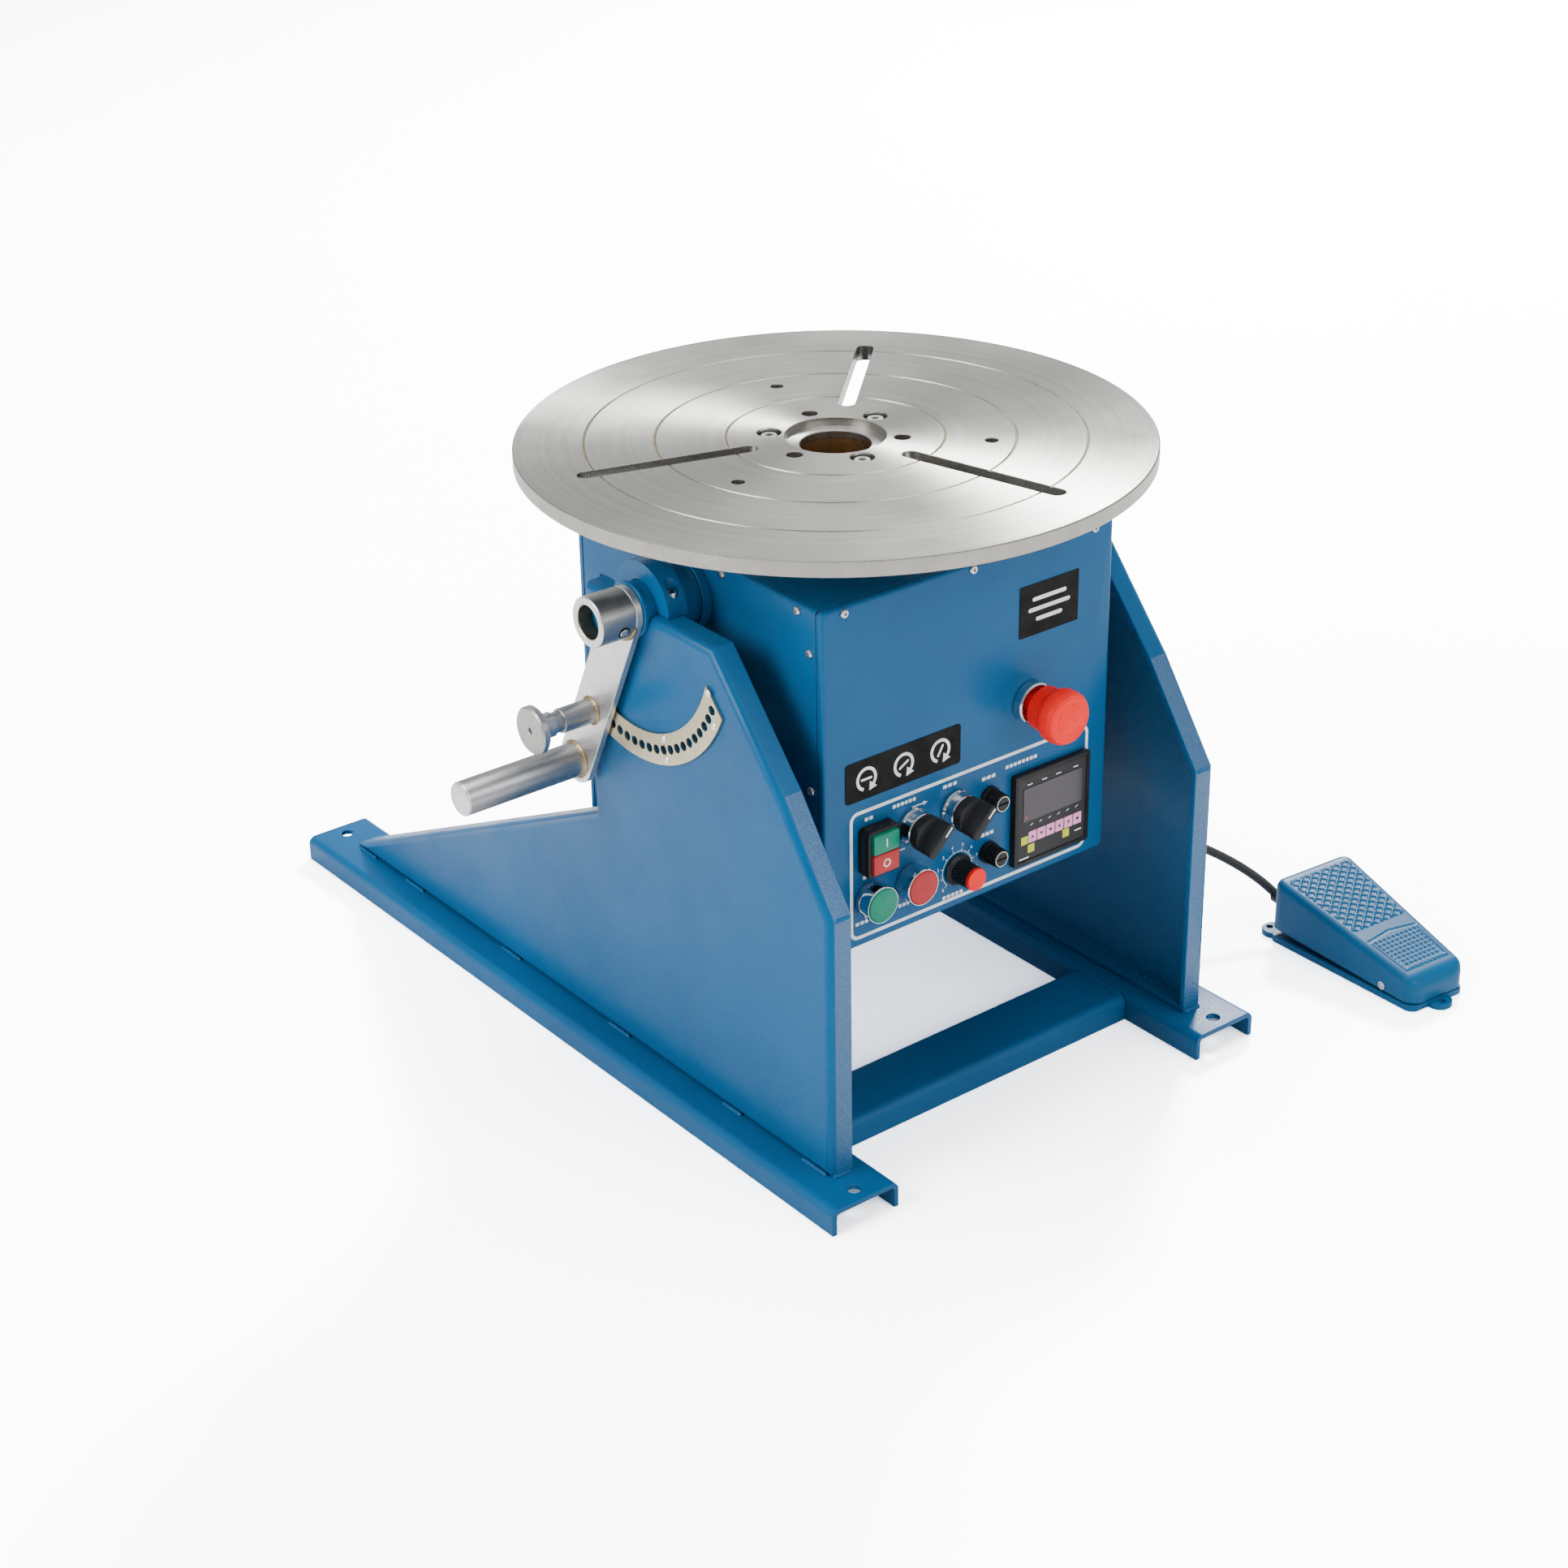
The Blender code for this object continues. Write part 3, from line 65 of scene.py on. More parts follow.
_low, _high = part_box("table")
AXIS_X = (_low.x + _high.x) / 2.0
AXIS_Y = (_low.y + _high.y) / 2.0


# ---------------------------------------------------------------- places read from the frame

def at(point):
    """A machine point in millimetres, as a point of the row frame in metres."""
    return Vector((AXIS_X + point[0] * MM, AXIS_Y + point[1] * MM, point[2] * MM))


def span(node):
    """A CAD node's lowest and highest corners, in machine millimetres."""
    low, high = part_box(node)
    shift = Vector((AXIS_X, AXIS_Y, 0.0))
    return (low - shift) / MM, (high - shift) / MM


def middle(node):
    low, high = span(node)
    return (low + high) / 2.0


TABLE_LOW, TABLE_HIGH = span("table")
TABLE_TOP = TABLE_HIGH.z
TABLE_R = TABLE_HIGH.x
TABLE_THICK = TABLE_TOP - TABLE_LOW.z
TILT_Z = middle("lever_sleeve").z
HOUSING_LOW, HOUSING_HIGH = span("housing_shell")
PANEL_Y = span("front_panel")[0].y
REAR_Y = span("rear_cover")[1].y
PLATE_LOW, PLATE_HIGH = span("right_side_plate")
WEB_FACE = PLATE_HIGH.x
FLANGE_EDGE = PLATE_LOW.x
CHANNEL_LOW, CHANNEL_HIGH = span("right_base_channel")
CHANNEL_TOP = CHANNEL_HIGH.z
ARM_ANGLE = 25.5
INDEX_R = 110.7
SIDES = ((-1, "left"), (1, "right"))
SEAT_BORE_R = 20.3
SLEEVE_BORE_R = 13.5
SHAFT_BORE_R = 13.2
CAP_SCREW_Y = 27.0
CAP_SCREW_DEPTH = 12.0
GRIP_R = 168.0
PLUNGER_SHOULDER = 238.0
GROOVE_RADII = (195.0, 140.0, 85.0)
GROOVE = ((1.1, 0.0), (0.7, 0.9), (-0.7, 0.9), (-1.1, 0.0))
HOLE_CIRCLE_R = 52.0
OUTER_CIRCLE_R = 121.0
SCREW_ANGLES = (13.9, 133.9, 253.9)
SLOT_ANGLES = (43.9, 163.9, 283.9)
TAPPED_ANGLES = (73.9, 193.9, 313.9)
TREADLE_PIVOT = (-48.0, 12.5)
TREADLE_END = 82.0
SPRING_SPOT = (0.0, 50.0)
PEDAL_TURN = math.radians(-4.2)
PEDAL_PLACE = (385.5, -250.0)
GAP = 0.3


# ---------------------------------------------------------------- outlines

def arc(centre, radius, start, end, steps):
    """Points along an arc, both ends included; angles in degrees."""
    points = []
    for i in range(steps + 1):
        angle = math.radians(start + (end - start) * i / steps)
        points.append((centre[0] + radius * math.cos(angle), centre[1] + radius * math.sin(angle)))
    return points


def circle(centre, radius, steps):
    return arc(centre, radius, 0.0, 360.0 * (steps - 1) / steps, steps - 1)


def rounded_box(low, high, radius, steps=6):
    corners = (
        ((high[0] - radius, high[1] - radius), 0.0),
        ((low[0] + radius, high[1] - radius), 90.0),
        ((low[0] + radius, low[1] + radius), 180.0),
        ((high[0] - radius, low[1] + radius), 270.0),
    )
    outline = []
    for centre, start in corners:
        outline += arc(centre, radius, start, start + 90.0, steps)
    return outline


def framed(low, high, border, radius, steps=6):
    """A rounded outline on the front, inside the corners of a node by an even border."""
    return rounded_box((low.x + border, low.z + border), (high.x - border, high.z - border), radius, steps)


def capsule(start, end, radius, steps=16):
    heading = math.degrees(math.atan2(end[1] - start[1], end[0] - start[0]))
    outline = arc(start, radius, heading + 90.0, heading + 270.0, steps)
    return outline + arc(end, radius, heading - 90.0, heading + 90.0, steps)


def edge_normal(start, end, side):
    length = math.hypot(end[0] - start[0], end[1] - start[1])
    return (-(end[1] - start[1]) / length * side, (end[0] - start[0]) / length * side)


def inset(outline, distance):
    """Move every edge of an outline inward by the same distance."""
    area = 0.0
    for (x0, y0), (x1, y1) in zip(outline, outline[1:] + outline[:1]):
        area += x0 * y1 - x1 * y0
    side = 1.0 if area > 0.0 else -1.0
    moved = []
    for before, here, after in zip(outline[-1:] + outline[:-1], outline, outline[1:] + outline[:1]):
        first = edge_normal(before, here, side)
        second = edge_normal(here, after, side)
        scale = distance / (1.0 + first[0] * second[0] + first[1] * second[1])
        moved.append((here[0] + (first[0] + second[0]) * scale, here[1] + (first[1] + second[1]) * scale))
    return moved


def index_point(radius, angle):
    """(y, z) at a radius from the tilt axis; the angle runs from straight down towards the front."""
    turn = math.radians(angle)
    return (-radius * math.sin(turn), TILT_Z - radius * math.cos(turn))


def polar(centre, radius, degrees):
    angle = math.radians(degrees)
    return (centre[0] + radius * math.cos(angle), centre[1] + radius * math.sin(angle))


# ---------------------------------------------------------------- shells: (vertices, faces)

def to_space(axis, a, b, height):
    if axis == "X":
        return (height, a, b)
    if axis == "Y":
        return (a, height, b)
    return (a, b, height)


def loft(rings, closed_ends=True):
    count = len(rings[0])
    verts = [point for ring in rings for point in ring]
    faces = []
    for level in range(len(rings) - 1):
        for i in range(count):
            j = (i + 1) % count
            low, high = level * count, (level + 1) * count
            faces.append((low + i, low + j, high + j, high + i))
    if closed_ends:
        faces.insert(0, tuple(range(count)))
        faces.append(tuple(range((len(rings) - 1) * count, len(rings) * count)))
    return verts, faces


def prism(outline, axis, low, high):
    return loft([[to_space(axis, a, b, height) for a, b in outline] for height in (low, high)])


def box(low, high):
    outline = [(low[0], low[1]), (high[0], low[1]), (high[0], high[1]), (low[0], high[1])]
    return prism(outline, "Z", low[2], high[2])


def layers(outline, steps, axis):
    rings = []
    for distance, height in steps:
        rings.append([to_space(axis, a, b, height) for a, b in inset(outline, distance)])
    return loft(rings)


def turned(profile, centre, axis, steps):
    """A turned shell from (radius, height) points; a profile that doesn't start at radius 0 is a ring."""
    verts, rows = [], []
    for radius, height in profile:
        around = 1 if radius == 0.0 else steps
        rows.append((len(verts), around))
        for a, b in circle(centre, radius, steps)[:around]:
            verts.append(to_space(axis, a, b, height))
    pairs = list(zip(rows, rows[1:]))
    if profile[0][0] > 0.0:
        pairs.append((rows[-1], rows[0]))
    faces = []
    for (low, low_count), (high, high_count) in pairs:
        for i in range(steps):
            j = (i + 1) % steps
            corners = [low + i % low_count, low + j % low_count, high + j % high_count, high + i % high_count]
            faces.append(tuple(dict.fromkeys(corners)))
    return verts, faces


def rod(radius, centre, axis, low, high, steps=32):
    return prism(circle(centre, radius, steps), axis, low, high)


def unit(vector):
    return Vector(vector).normalized()


def swept(path, radii, steps):
    """A round bar along a path, with its own radius at each point."""
    rings = []
    for i, here in enumerate(path):
        before, after = path[max(i - 1, 0)], path[min(i + 1, len(path) - 1)]
        along = unit([b - a for a, b in zip(before, after)])
        side = unit(along.cross(Vector((0.31, 0.17, 0.94))))
        up = side.cross(along)
        ring = []
        for k in range(steps):
            turn = 2.0 * math.pi * k / steps
            ring.append(tuple(Vector(here) + radii[i] * (math.cos(turn) * side + math.sin(turn) * up)))
        rings.append(ring)
    return loft(rings)


def together(shells):
    verts, faces = [], []
    for more_verts, more_faces in shells:
        start = len(verts)
        verts += more_verts
        faces += [tuple(start + i for i in face) for face in more_faces]
    return verts, faces


def mirrored(shell):
    return [(-x, y, z) for x, y, z in shell[0]], shell[1]


def moved(shell, place):
    return [place(point) for point in shell[0]], shell[1]


# ---------------------------------------------------------------- objects

def build(name, shell):
    mesh = bpy.data.meshes.new(name)
    mesh.from_pydata([at(point) for point in shell[0]], [], shell[1])
    shape = bmesh.new()
    shape.from_mesh(mesh)
    bmesh.ops.recalc_face_normals(shape, faces=shape.faces)
    shape.to_mesh(mesh)
    shape.free()
    obj = bpy.data.objects.new(name, mesh)
    bpy.context.scene.collection.objects.link(obj)
    return obj


def carve(obj, shells, operation="DIFFERENCE"):
    """Cut shells out of an object's mesh, or join them to it."""
    tool = build("carving_tool", together(shells))
    modifier = obj.modifiers.new("carve", "BOOLEAN")
    modifier.operation = operation
    modifier.object = tool
    modifier.solver = "EXACT"
    graph = bpy.context.evaluated_depsgraph_get()
    carved = bpy.data.meshes.new_from_object(obj.evaluated_get(graph))
    obj.modifiers.clear()
    obj.data = carved
    bpy.data.objects.remove(tool)


def finish_mesh(obj, bevel, facet=FACET):
    """Shade round faces smooth, and break the sharp edges with a small bevel."""
    obj.data.shade_smooth()
    obj.data.set_sharp_from_angle(angle=facet)
    if bevel > 0.0:
        modifier = obj.modifiers.new("edges", "BEVEL")
        modifier.width = bevel * MM
        modifier.segments = 2
        modifier.limit_method = "ANGLE"
        modifier.angle_limit = facet
        modifier.harden_normals = True


def piece(name, shell, material, body, replaces=(), bevel=0.0, cuts=(), adds=()):
    """One visible piece, on its body, standing for the CAD nodes it replaces."""
    obj = build(name, shell)
    if adds:
        carve(obj, adds, "UNION")
    if cuts:
        carve(obj, cuts)
    obj.data.materials.clear()
    obj.data.materials.append(MATERIALS[material])
    finish_mesh(obj, bevel)
    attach(obj, body)
    if replaces:
        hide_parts(*((replaces,) if isinstance(replaces, str) else replaces))
    return obj


def repaint(obj, material, chosen):
    """Give another finish to the faces that a test picks."""
    obj.data.materials.append(MATERIALS[material])
    for face in obj.data.polygons:
        if chosen(face):
            face.material_index = len(obj.data.materials) - 1


# ---------------------------------------------------------------- materials

MATERIALS = {}


class Recipe:
    """A small helper that adds and links the shader nodes of one material."""

    def __init__(self, name, colour, roughness, metallic):
        material = bpy.data.materials.new(name)
        material.use_nodes = True
        self.tree = material.node_tree
        self.shader = self.tree.nodes["Principled BSDF"]
        self.coordinates = self.add("TexCoord").outputs["Object"]
        self.set("Base Color", colour)
        self.set("Roughness", roughness)
        self.set("Metallic", metallic)
        MATERIALS[name] = material

    def add(self, kind, **values):
        """A node with its settings and inputs; an input's name has underscores for its spaces."""
        node = self.tree.nodes.new("ShaderNode" + kind)
        for key, value in values.items():
            if hasattr(node, key):
                setattr(node, key, value)
            else:
                self.put(node.inputs[key.replace("_", " ")], value)
        return node

    def put(self, socket, value):
        if isinstance(value, bpy.types.NodeSocket):
            self.tree.links.new(value, socket)
        elif socket.type == "RGBA":
            socket.default_value = (*value, 1.0)
        else:
            socket.default_value = value

    def set(self, socket_name, value):
        self.put(self.shader.inputs[socket_name], value)

    def vector(self, operation, first, second=(0.0, 0.0, 0.0)):
        node = self.add("VectorMath", operation=operation)
        self.put(node.inputs[0], first)
        self.put(node.inputs[1], second)
        return node.outputs

    def noise(self, scale, detail=2.0, vector=None):
        node = self.add("TexNoise", Scale=scale, Detail=detail, Vector=vector or self.coordinates)
        return node.outputs["Fac"]

    def spread(self, value, low, high, start=0.3, end=0.7):
        """Map a texture's value from start..end to low..high."""
        node = self.add("MapRange", Value=value, From_Min=start, From_Max=end, To_Min=low, To_Max=high)
        return node.outputs["Result"]

    def mix(self, factor, first, second):
        node = self.add("Mix", data_type="RGBA")
        for index, value in ((0, factor), (6, first), (7, second)):
            self.put(node.inputs[index], value)
        return node.outputs[2]

    def bump(self, height, strength, distance):
        return self.add("Bump", Height=height, Strength=strength, Distance=distance).outputs["Normal"]

    def stretch(self, scale):
        return self.add("Mapping", Vector=self.coordinates, Scale=scale).outputs["Vector"]


def tint(colour, factor):
    return tuple(min(1.0, c * factor) for c in colour)


def enamel(name, colour, peel=0.14, peel_scale=420.0, roughness=(0.28, 0.42), shine=0.20):
    """Sprayed machine enamel: light orange peel, slow colour drift, rubbed and dusty patches."""
    recipe = Recipe(name, colour, 0.33, 0.0)
    drift = recipe.spread(recipe.noise(6.0, 3.0), 0.0, 1.0)
    recipe.set("Base Color", recipe.mix(drift, tint(colour, 0.90), tint(colour, 1.12)))
    recipe.set("Roughness", recipe.spread(recipe.noise(22.0, 4.0), *roughness))
    recipe.set("Specular IOR Level", shine)
    recipe.set("Normal", recipe.bump(recipe.noise(peel_scale, 2.0), peel, 0.0008))


def radial_distance(recipe, centre):
    shift = recipe.vector("SUBTRACT", recipe.coordinates, centre)["Vector"]
    flat = recipe.vector("MULTIPLY", shift, (1.0, 1.0, 0.0))["Vector"]
    return recipe.vector("LENGTH", flat)["Value"]


def turned_face(name, colour, centre):
    """Steel faced on a lathe: fine concentric marks, streaked reflections and a few handling stains."""
    recipe = Recipe(name, colour, 0.32, 1.0)
    radius = radial_distance(recipe, centre)
    rings = recipe.add("TexNoise", noise_dimensions="1D", W=radius, Scale=2600.0)
    bands = recipe.add("TexNoise", noise_dimensions="1D", W=radius, Scale=160.0)
    stains = recipe.noise(9.0, 4.0)
    shade = recipe.mix(recipe.spread(bands.outputs["Fac"], 0.0, 1.0), tint(colour, 0.93), tint(colour, 1.06))
    warm = tuple(c * k for c, k in zip(colour, (0.96, 0.90, 0.80)))
    recipe.set("Base Color", recipe.mix(recipe.spread(stains, 0.0, 0.30, 0.55, 0.80), shade, warm))
    recipe.set("Roughness", recipe.spread(recipe.noise(14.0, 3.0), 0.31, 0.40))
    recipe.set("Normal", recipe.bump(rings.outputs["Fac"], 0.10, 0.0001))
    recipe.set("Anisotropic", 0.85)
    recipe.set("Anisotropic Rotation", 0.25)
    tangent = recipe.add("Tangent", direction_type="RADIAL", axis="Z")
    recipe.set("Tangent", tangent.outputs["Tangent"])


def brushed(name, colour, stretch, roughness=(0.24, 0.42), mottle=0.10):
    """Plated or turned bar steel with fine marks along one direction."""
    recipe = Recipe(name, colour, 0.32, 1.0)
    marks = recipe.noise(1.0, 3.0, recipe.stretch(stretch))
    cloud = recipe.noise(40.0, 4.0)
    cloudy = recipe.spread(cloud, 0.0, 1.0)
    shade = recipe.mix(cloudy, tint(colour, 1.0 - mottle), tint(colour, 1.0 + mottle))
    recipe.set("Base Color", recipe.mix(recipe.spread(marks, 0.0, 0.35), shade, tint(colour, 0.7)))
    recipe.set("Roughness", recipe.spread(recipe.noise(1.0, 2.0, recipe.stretch(stretch)), *roughness))
    recipe.set("Normal", recipe.bump(marks, 0.10, 0.0003))


def plastic(name, colour, roughness=0.38, grain=0.06, grain_scale=900.0, shine=0.22):
    """Moulded plastic: a fine spark-eroded grain and finger-polished patches."""
    recipe = Recipe(name, colour, roughness, 0.0)
    recipe.set("Specular IOR Level", shine)
    patches = recipe.noise(70.0, 3.0)
    recipe.set("Roughness", recipe.spread(patches, roughness * 0.75, roughness * 1.2))
    shade = recipe.spread(patches, 0.0, 1.0)
    recipe.set("Base Color", recipe.mix(shade, tint(colour, 0.9), tint(colour, 1.1)))
    recipe.set("Normal", recipe.bump(recipe.noise(grain_scale, 2.0), grain, 0.0002))


def make_materials():
    blue = (0.0010, 0.080, 0.215)
    enamel("blue_paint", blue)
    enamel("hammered_blue", blue, peel=0.85, peel_scale=760.0, roughness=(0.22, 0.32), shine=0.75)
    # A darker copy of the blue paint: painted shade, used on the housing's hexagon plug
    enamel("painted_shade_blue", (0.0006, 0.040, 0.100), shine=0.10)
    enamel("pedal_paint", (0.0010, 0.077, 0.190), peel=0.06, roughness=(0.32, 0.42), shine=0.18)
    turned_face("machined_steel", (0.40, 0.40, 0.375), (AXIS_X, AXIS_Y, 0.0))
    brushed("turned_steel", (0.37, 0.36, 0.33), (300.0, 300.0, 4000.0))
    brushed("zinc_steel", (0.37, 0.37, 0.375), (30.0, 1800.0, 1800.0), (0.30, 0.42), 0.08)
    brushed("turned_zinc", (0.52, 0.53, 0.54), (2600.0, 120.0, 120.0), (0.26, 0.36), 0.06)
    brushed("bright_zinc", (0.72, 0.72, 0.71), (160.0, 500.0, 160.0), (0.30, 0.46), 0.06)
    brushed("face_zinc", (0.42, 0.42, 0.40), (300.0, 300.0, 300.0), (0.36, 0.50), 0.08)
    brushed("screw_zinc", (0.66, 0.66, 0.65), (400.0, 400.0, 400.0), (0.22, 0.34))
    brushed("heat_tint", (0.34, 0.25, 0.14), (200.0, 200.0, 200.0), (0.34, 0.48), 0.25)
    brushed("bearing_steel", (0.66, 0.67, 0.68), (200.0, 200.0, 2000.0))
    brushed("dark_steel", (0.11, 0.11, 0.12), (200.0, 200.0, 200.0), (0.40, 0.55), 0.2)
    brushed("nickel_plate", (0.60, 0.54, 0.38), (220.0, 220.0, 220.0), (0.34, 0.50), 0.10)
    # Dark brown for the faces of the table's marking grooves: painted shade in the grooves
    brushed("groove_painted_shade_brown", (0.13, 0.10, 0.06), (300.0, 300.0, 300.0), (0.45, 0.60), 0.25)
    brushed("rivet_zinc", (0.85, 0.85, 0.84), (400.0, 400.0, 400.0), (0.30, 0.40), 0.04)
    brushed("bronze", (0.40, 0.24, 0.10), (150.0, 150.0, 2200.0), (0.30, 0.45), 0.25)
    brushed("bore_bronze", (0.42, 0.27, 0.13), (150.0, 150.0, 2200.0), (0.28, 0.45), 0.3)
    brushed("chrome", (0.72, 0.73, 0.75), (300.0, 300.0, 300.0), (0.07, 0.15), 0.04)
    plastic("black_plastic", (0.010, 0.011, 0.012), 0.36)
    plastic("knob_grey", (0.014, 0.015, 0.017), 0.42)
    plastic("face_grey", (0.022, 0.022, 0.024), 0.40)
    plastic("window", (0.030, 0.022, 0.034), 0.14, 0.0, shine=0.5)
    plastic("label_black", (0.003, 0.003, 0.003), 0.55, 0.25, 1400.0, shine=0.12)
    plastic("red_plastic", (0.96, 0.012, 0.010), 0.40, shine=0.12)
    plastic("stop_red", (0.42, 0.036, 0.040), 0.40, shine=0.14)
    plastic("lamp_red", (0.60, 0.10, 0.05), 0.3)
    plastic("green_plastic", (0.0, 0.200, 0.125), 0.34)
    plastic("key_pink", (0.86, 0.34, 0.60), 0.45)
    plastic("key_yellow", (0.56, 0.62, 0.03), 0.45)
    plastic("white_ink", (0.80, 0.81, 0.82), 0.5)
    plastic("cable_rubber", (0.030, 0.030, 0.030), 0.5, 0.2, 1200.0)
    plastic("board_green", (0.01, 0.12, 0.05), 0.5)
    # Near-black: painted shade in the cover seam, the rear louvre slots and round the lever's set screw; also
    # the scale's scribed line
    plastic("painted_shade_and_scribe_black", (0.004, 0.004, 0.005), 0.7)


def paint_frame():
    """Give every CAD node that stays its own finish."""
    slots = {row["node"]: row["material_slot"] for row in frame["record"]["subparts"]}
    for name, obj in frame["nodes"].items():
        obj.data.materials.clear()
        obj.data.materials.append(MATERIALS[slots[name]])


# ---------------------------------------------------------------- small fasteners

def hexagon(radius, steps=24):
    """Points round a hexagon of that across-corner radius, at even angles."""
    points = []
    for i in range(steps):
        angle = 360.0 * i / steps
        fold = math.radians((angle % 60.0) - 30.0)
        points.append(polar((0.0, 0.0), radius * math.cos(math.radians(30.0)) / math.cos(fold), angle))
    return points


def socket_screw(name, place, radius, height, body, axes, material="screw_zinc", domed=False):
    """A screw head with a hexagon socket; axes are (across, along, out) unit vectors at its seat."""
    steps = 24
    across, along, outward = (Vector(v) for v in axes)
    outline = [
        (circle((0.0, 0.0), radius, steps), 0.0),
        (circle((0.0, 0.0), radius, steps), height * (0.45 if domed else 0.86)),
        (circle((0.0, 0.0), radius * (0.82 if domed else 0.90), steps), height * (0.88 if domed else 1.0)),
        (circle((0.0, 0.0), radius * 0.62, steps), height),
        (hexagon(radius * 0.50, steps), height),
        (hexagon(radius * 0.48, steps), height * 0.35),
    ]
    rings = []
    for ring, rise in outline:
        rings.append([tuple(Vector(place) + across * a + along * b + outward * rise) for a, b in ring])
    return piece(name, loft(rings), material, body)


AXES_FRONT = ((1, 0, 0), (0, 0, 1), (0, -1, 0))
AXES_LEFT = ((0, 1, 0), (0, 0, 1), (-1, 0, 0))
AXES_RIGHT = ((0, 1, 0), (0, 0, 1), (1, 0, 0))
AXES_REAR = ((1, 0, 0), (0, 0, 1), (0, 1, 0))
AXES_UP = ((1, 0, 0), (0, 1, 0), (0, 0, 1))


def weld_bead(name, path, radius, material="blue_paint", body="stand"):
    """A painted weld: a low bead with the ripples of the passes."""
    fine = []
    for (start, end) in zip(path, path[1:]):
        length = (Vector(end) - Vector(start)).length
        count = max(2, int(length / (radius * 0.45)))
        for i in range(count):
            fine.append(tuple(Vector(start).lerp(Vector(end), i / count)))
    fine.append(path[-1])
    radii = []
    for i, point in enumerate(fine):
        ripple = 0.10 * math.sin(i * 1.9)
        wander = 0.18 * noise.noise(Vector(point) * 0.06)
        taper = min(1.0, 0.35 + min(i, len(fine) - 1 - i) * 0.35)
        radii.append(radius * (1.0 + ripple + wander) * taper)
    return piece(name, swept(fine, radii, 10), material, body)


# ---------------------------------------------------------------- stand

def channel_outline(low, high):
    bend, sheet, top = 7.0, 4.5, CHANNEL_TOP
    inner = bend - sheet
    outline = [(high, 0.0)]
    outline += arc((high - bend, top - bend), bend, 0.0, 90.0, 10)
    outline += arc((low + bend, top - bend), bend, 90.0, 180.0, 10)
    outline += [(low, 0.0), (low + sheet, 0.0)]
    outline += arc((low + bend, top - bend), inner, 180.0, 90.0, 6)
    outline += arc((high - bend, top - bend), inner, 90.0, 0.0, 6)
    outline.append((high - sheet, 0.0))
    return outline


def base_channels():
    for side, label in SIDES:
        name = label + "_base_channel"
        low, high = span(name)
        shell = prism(channel_outline(low.x, high.x), "Y", low.y, high.y)
        cuts = []
        for y in (low.y + 14.0, high.y - 16.0):
            cuts.append(rod(5.5, (side * 191.5, y), "Z", THROUGH, CHANNEL_TOP + THROUGH))
        piece(name + "_skin", shell, "blue_paint", "stand", name, bevel=0.7, cuts=cuts)
    for name in ("front_cross_channel", "rear_cross_channel"):
        low, high = span(name)
        shell = prism(channel_outline(low.y, high.y), "X", low.x, high.x)
        piece(name + "_skin", shell, "blue_paint", "stand", name, bevel=0.5)
        for side, label in SIDES:
            x = side * (CHANNEL_LOW.x - 0.8)
            path = [(x, low.y + 7.0, CHANNEL_TOP - 0.4), (x, high.y - 7.0, CHANNEL_TOP - 0.4)]
            weld_bead(f"{name}_weld_{label}", path, 1.9)


def plate_outline():
    foot = CHANNEL_TOP + GAP
    return [
        (-232.0, foot), (462.7, foot), (64.2, 218.2), (64.2, TILT_Z), (-97.0, TILT_Z),
        (-175.9, 325.4), (-232.0, 245.9),
    ]


def side_plates():
    sheet, bend = 5.0, 7.0
    depth = WEB_FACE - FLANGE_EDGE
    profile = []
    for i in range(9):
        turn = math.radians(90.0 * i / 8.0)
        profile.append((bend - bend * math.sin(turn), bend - bend * math.cos(turn)))
    profile += [(0.0, depth - 0.6), (0.6, depth), (sheet - 0.6, depth), (sheet, depth - 0.6), (sheet, bend),
                (sheet + 0.6, sheet + 0.6), (bend, sheet)]
    steps = [(distance, WEB_FACE - back) for distance, back in profile]
    for side, label in SIDES:
        name = label + "_side_plate"
        seat = prism(arc((0.0, TILT_Z - 1.0), 40.0, 180.0, 360.0, 32), "X", FLANGE_EDGE + 0.5, WEB_FACE - 3.0)
        bore = rod(SEAT_BORE_R, (0.0, TILT_Z), "X", FLANGE_EDGE - THROUGH, WEB_FACE + THROUGH, 48)
        shells = [layers(plate_outline(), steps, "X"), seat, bore]
        if side < 0:
            shells = [mirrored(shell) for shell in shells]
            cuts = [shells[2]] + index_holes(WEB_FACE - 7.0, WEB_FACE + THROUGH)
        else:
            gland = middle("cable_gland")
            cuts = [shells[2], rod(6.0, (gland.y, gland.z), "X", WEB_FACE - 7.0, WEB_FACE + THROUGH)]
        obj = piece(name + "_skin", shells[0], "blue_paint", "stand", name, cuts=cuts, adds=[shells[1]])
        hammer_flanges(obj)
        plate_welds(side, name)


def hammer_flanges(obj):
    """The rim faces of a side plate carry a coarser, hammered coat than its web."""
    smooth_above = at((0.0, 0.0, 352.0)).z
    repaint(obj, "hammered_blue", lambda face: abs(face.normal.x) < 0.25 and face.center.z < smooth_above)


def plate_welds(side, name):
    """Beads where the folded rims were mitred, and where the plate stands on its channel."""
    outline = plate_outline()
    near, far = side * (FLANGE_EDGE + 1.5), side * (WEB_FACE - 6.0)
    for i in (2, 6):
        y, z = outline[i]
        weld_bead(f"{name}_mitre_{i}", [(near, y, z - 0.7), (far, y, z - 0.7)], 1.6)
    foot = CHANNEL_TOP + 0.2
    x = side * (WEB_FACE - 1.0)
    spots = ((-226.0, -196.0), (-120.0, -95.0), (30.0, 60.0), (190.0, 220.0), (345.0, 375.0), (425.0, 452.0))
    for i, (start, end) in enumerate(spots):
        weld_bead(f"{name}_foot_weld_{i}", [(x, start, foot), (x, end, foot)], 2.0)
    y = outline[0][0] + 0.5
    weld_bead(f"{name}_toe_weld", [(near, y, foot), (far + side * 4.0, y, foot)], 2.4)


def index_holes(low, high):
    shells = []
    for i in range(19):
        shells.append(rod(3.9, index_point(INDEX_R, 5.0 * i - ARM_ANGLE), "X", -high, -low, 20))
    return shells


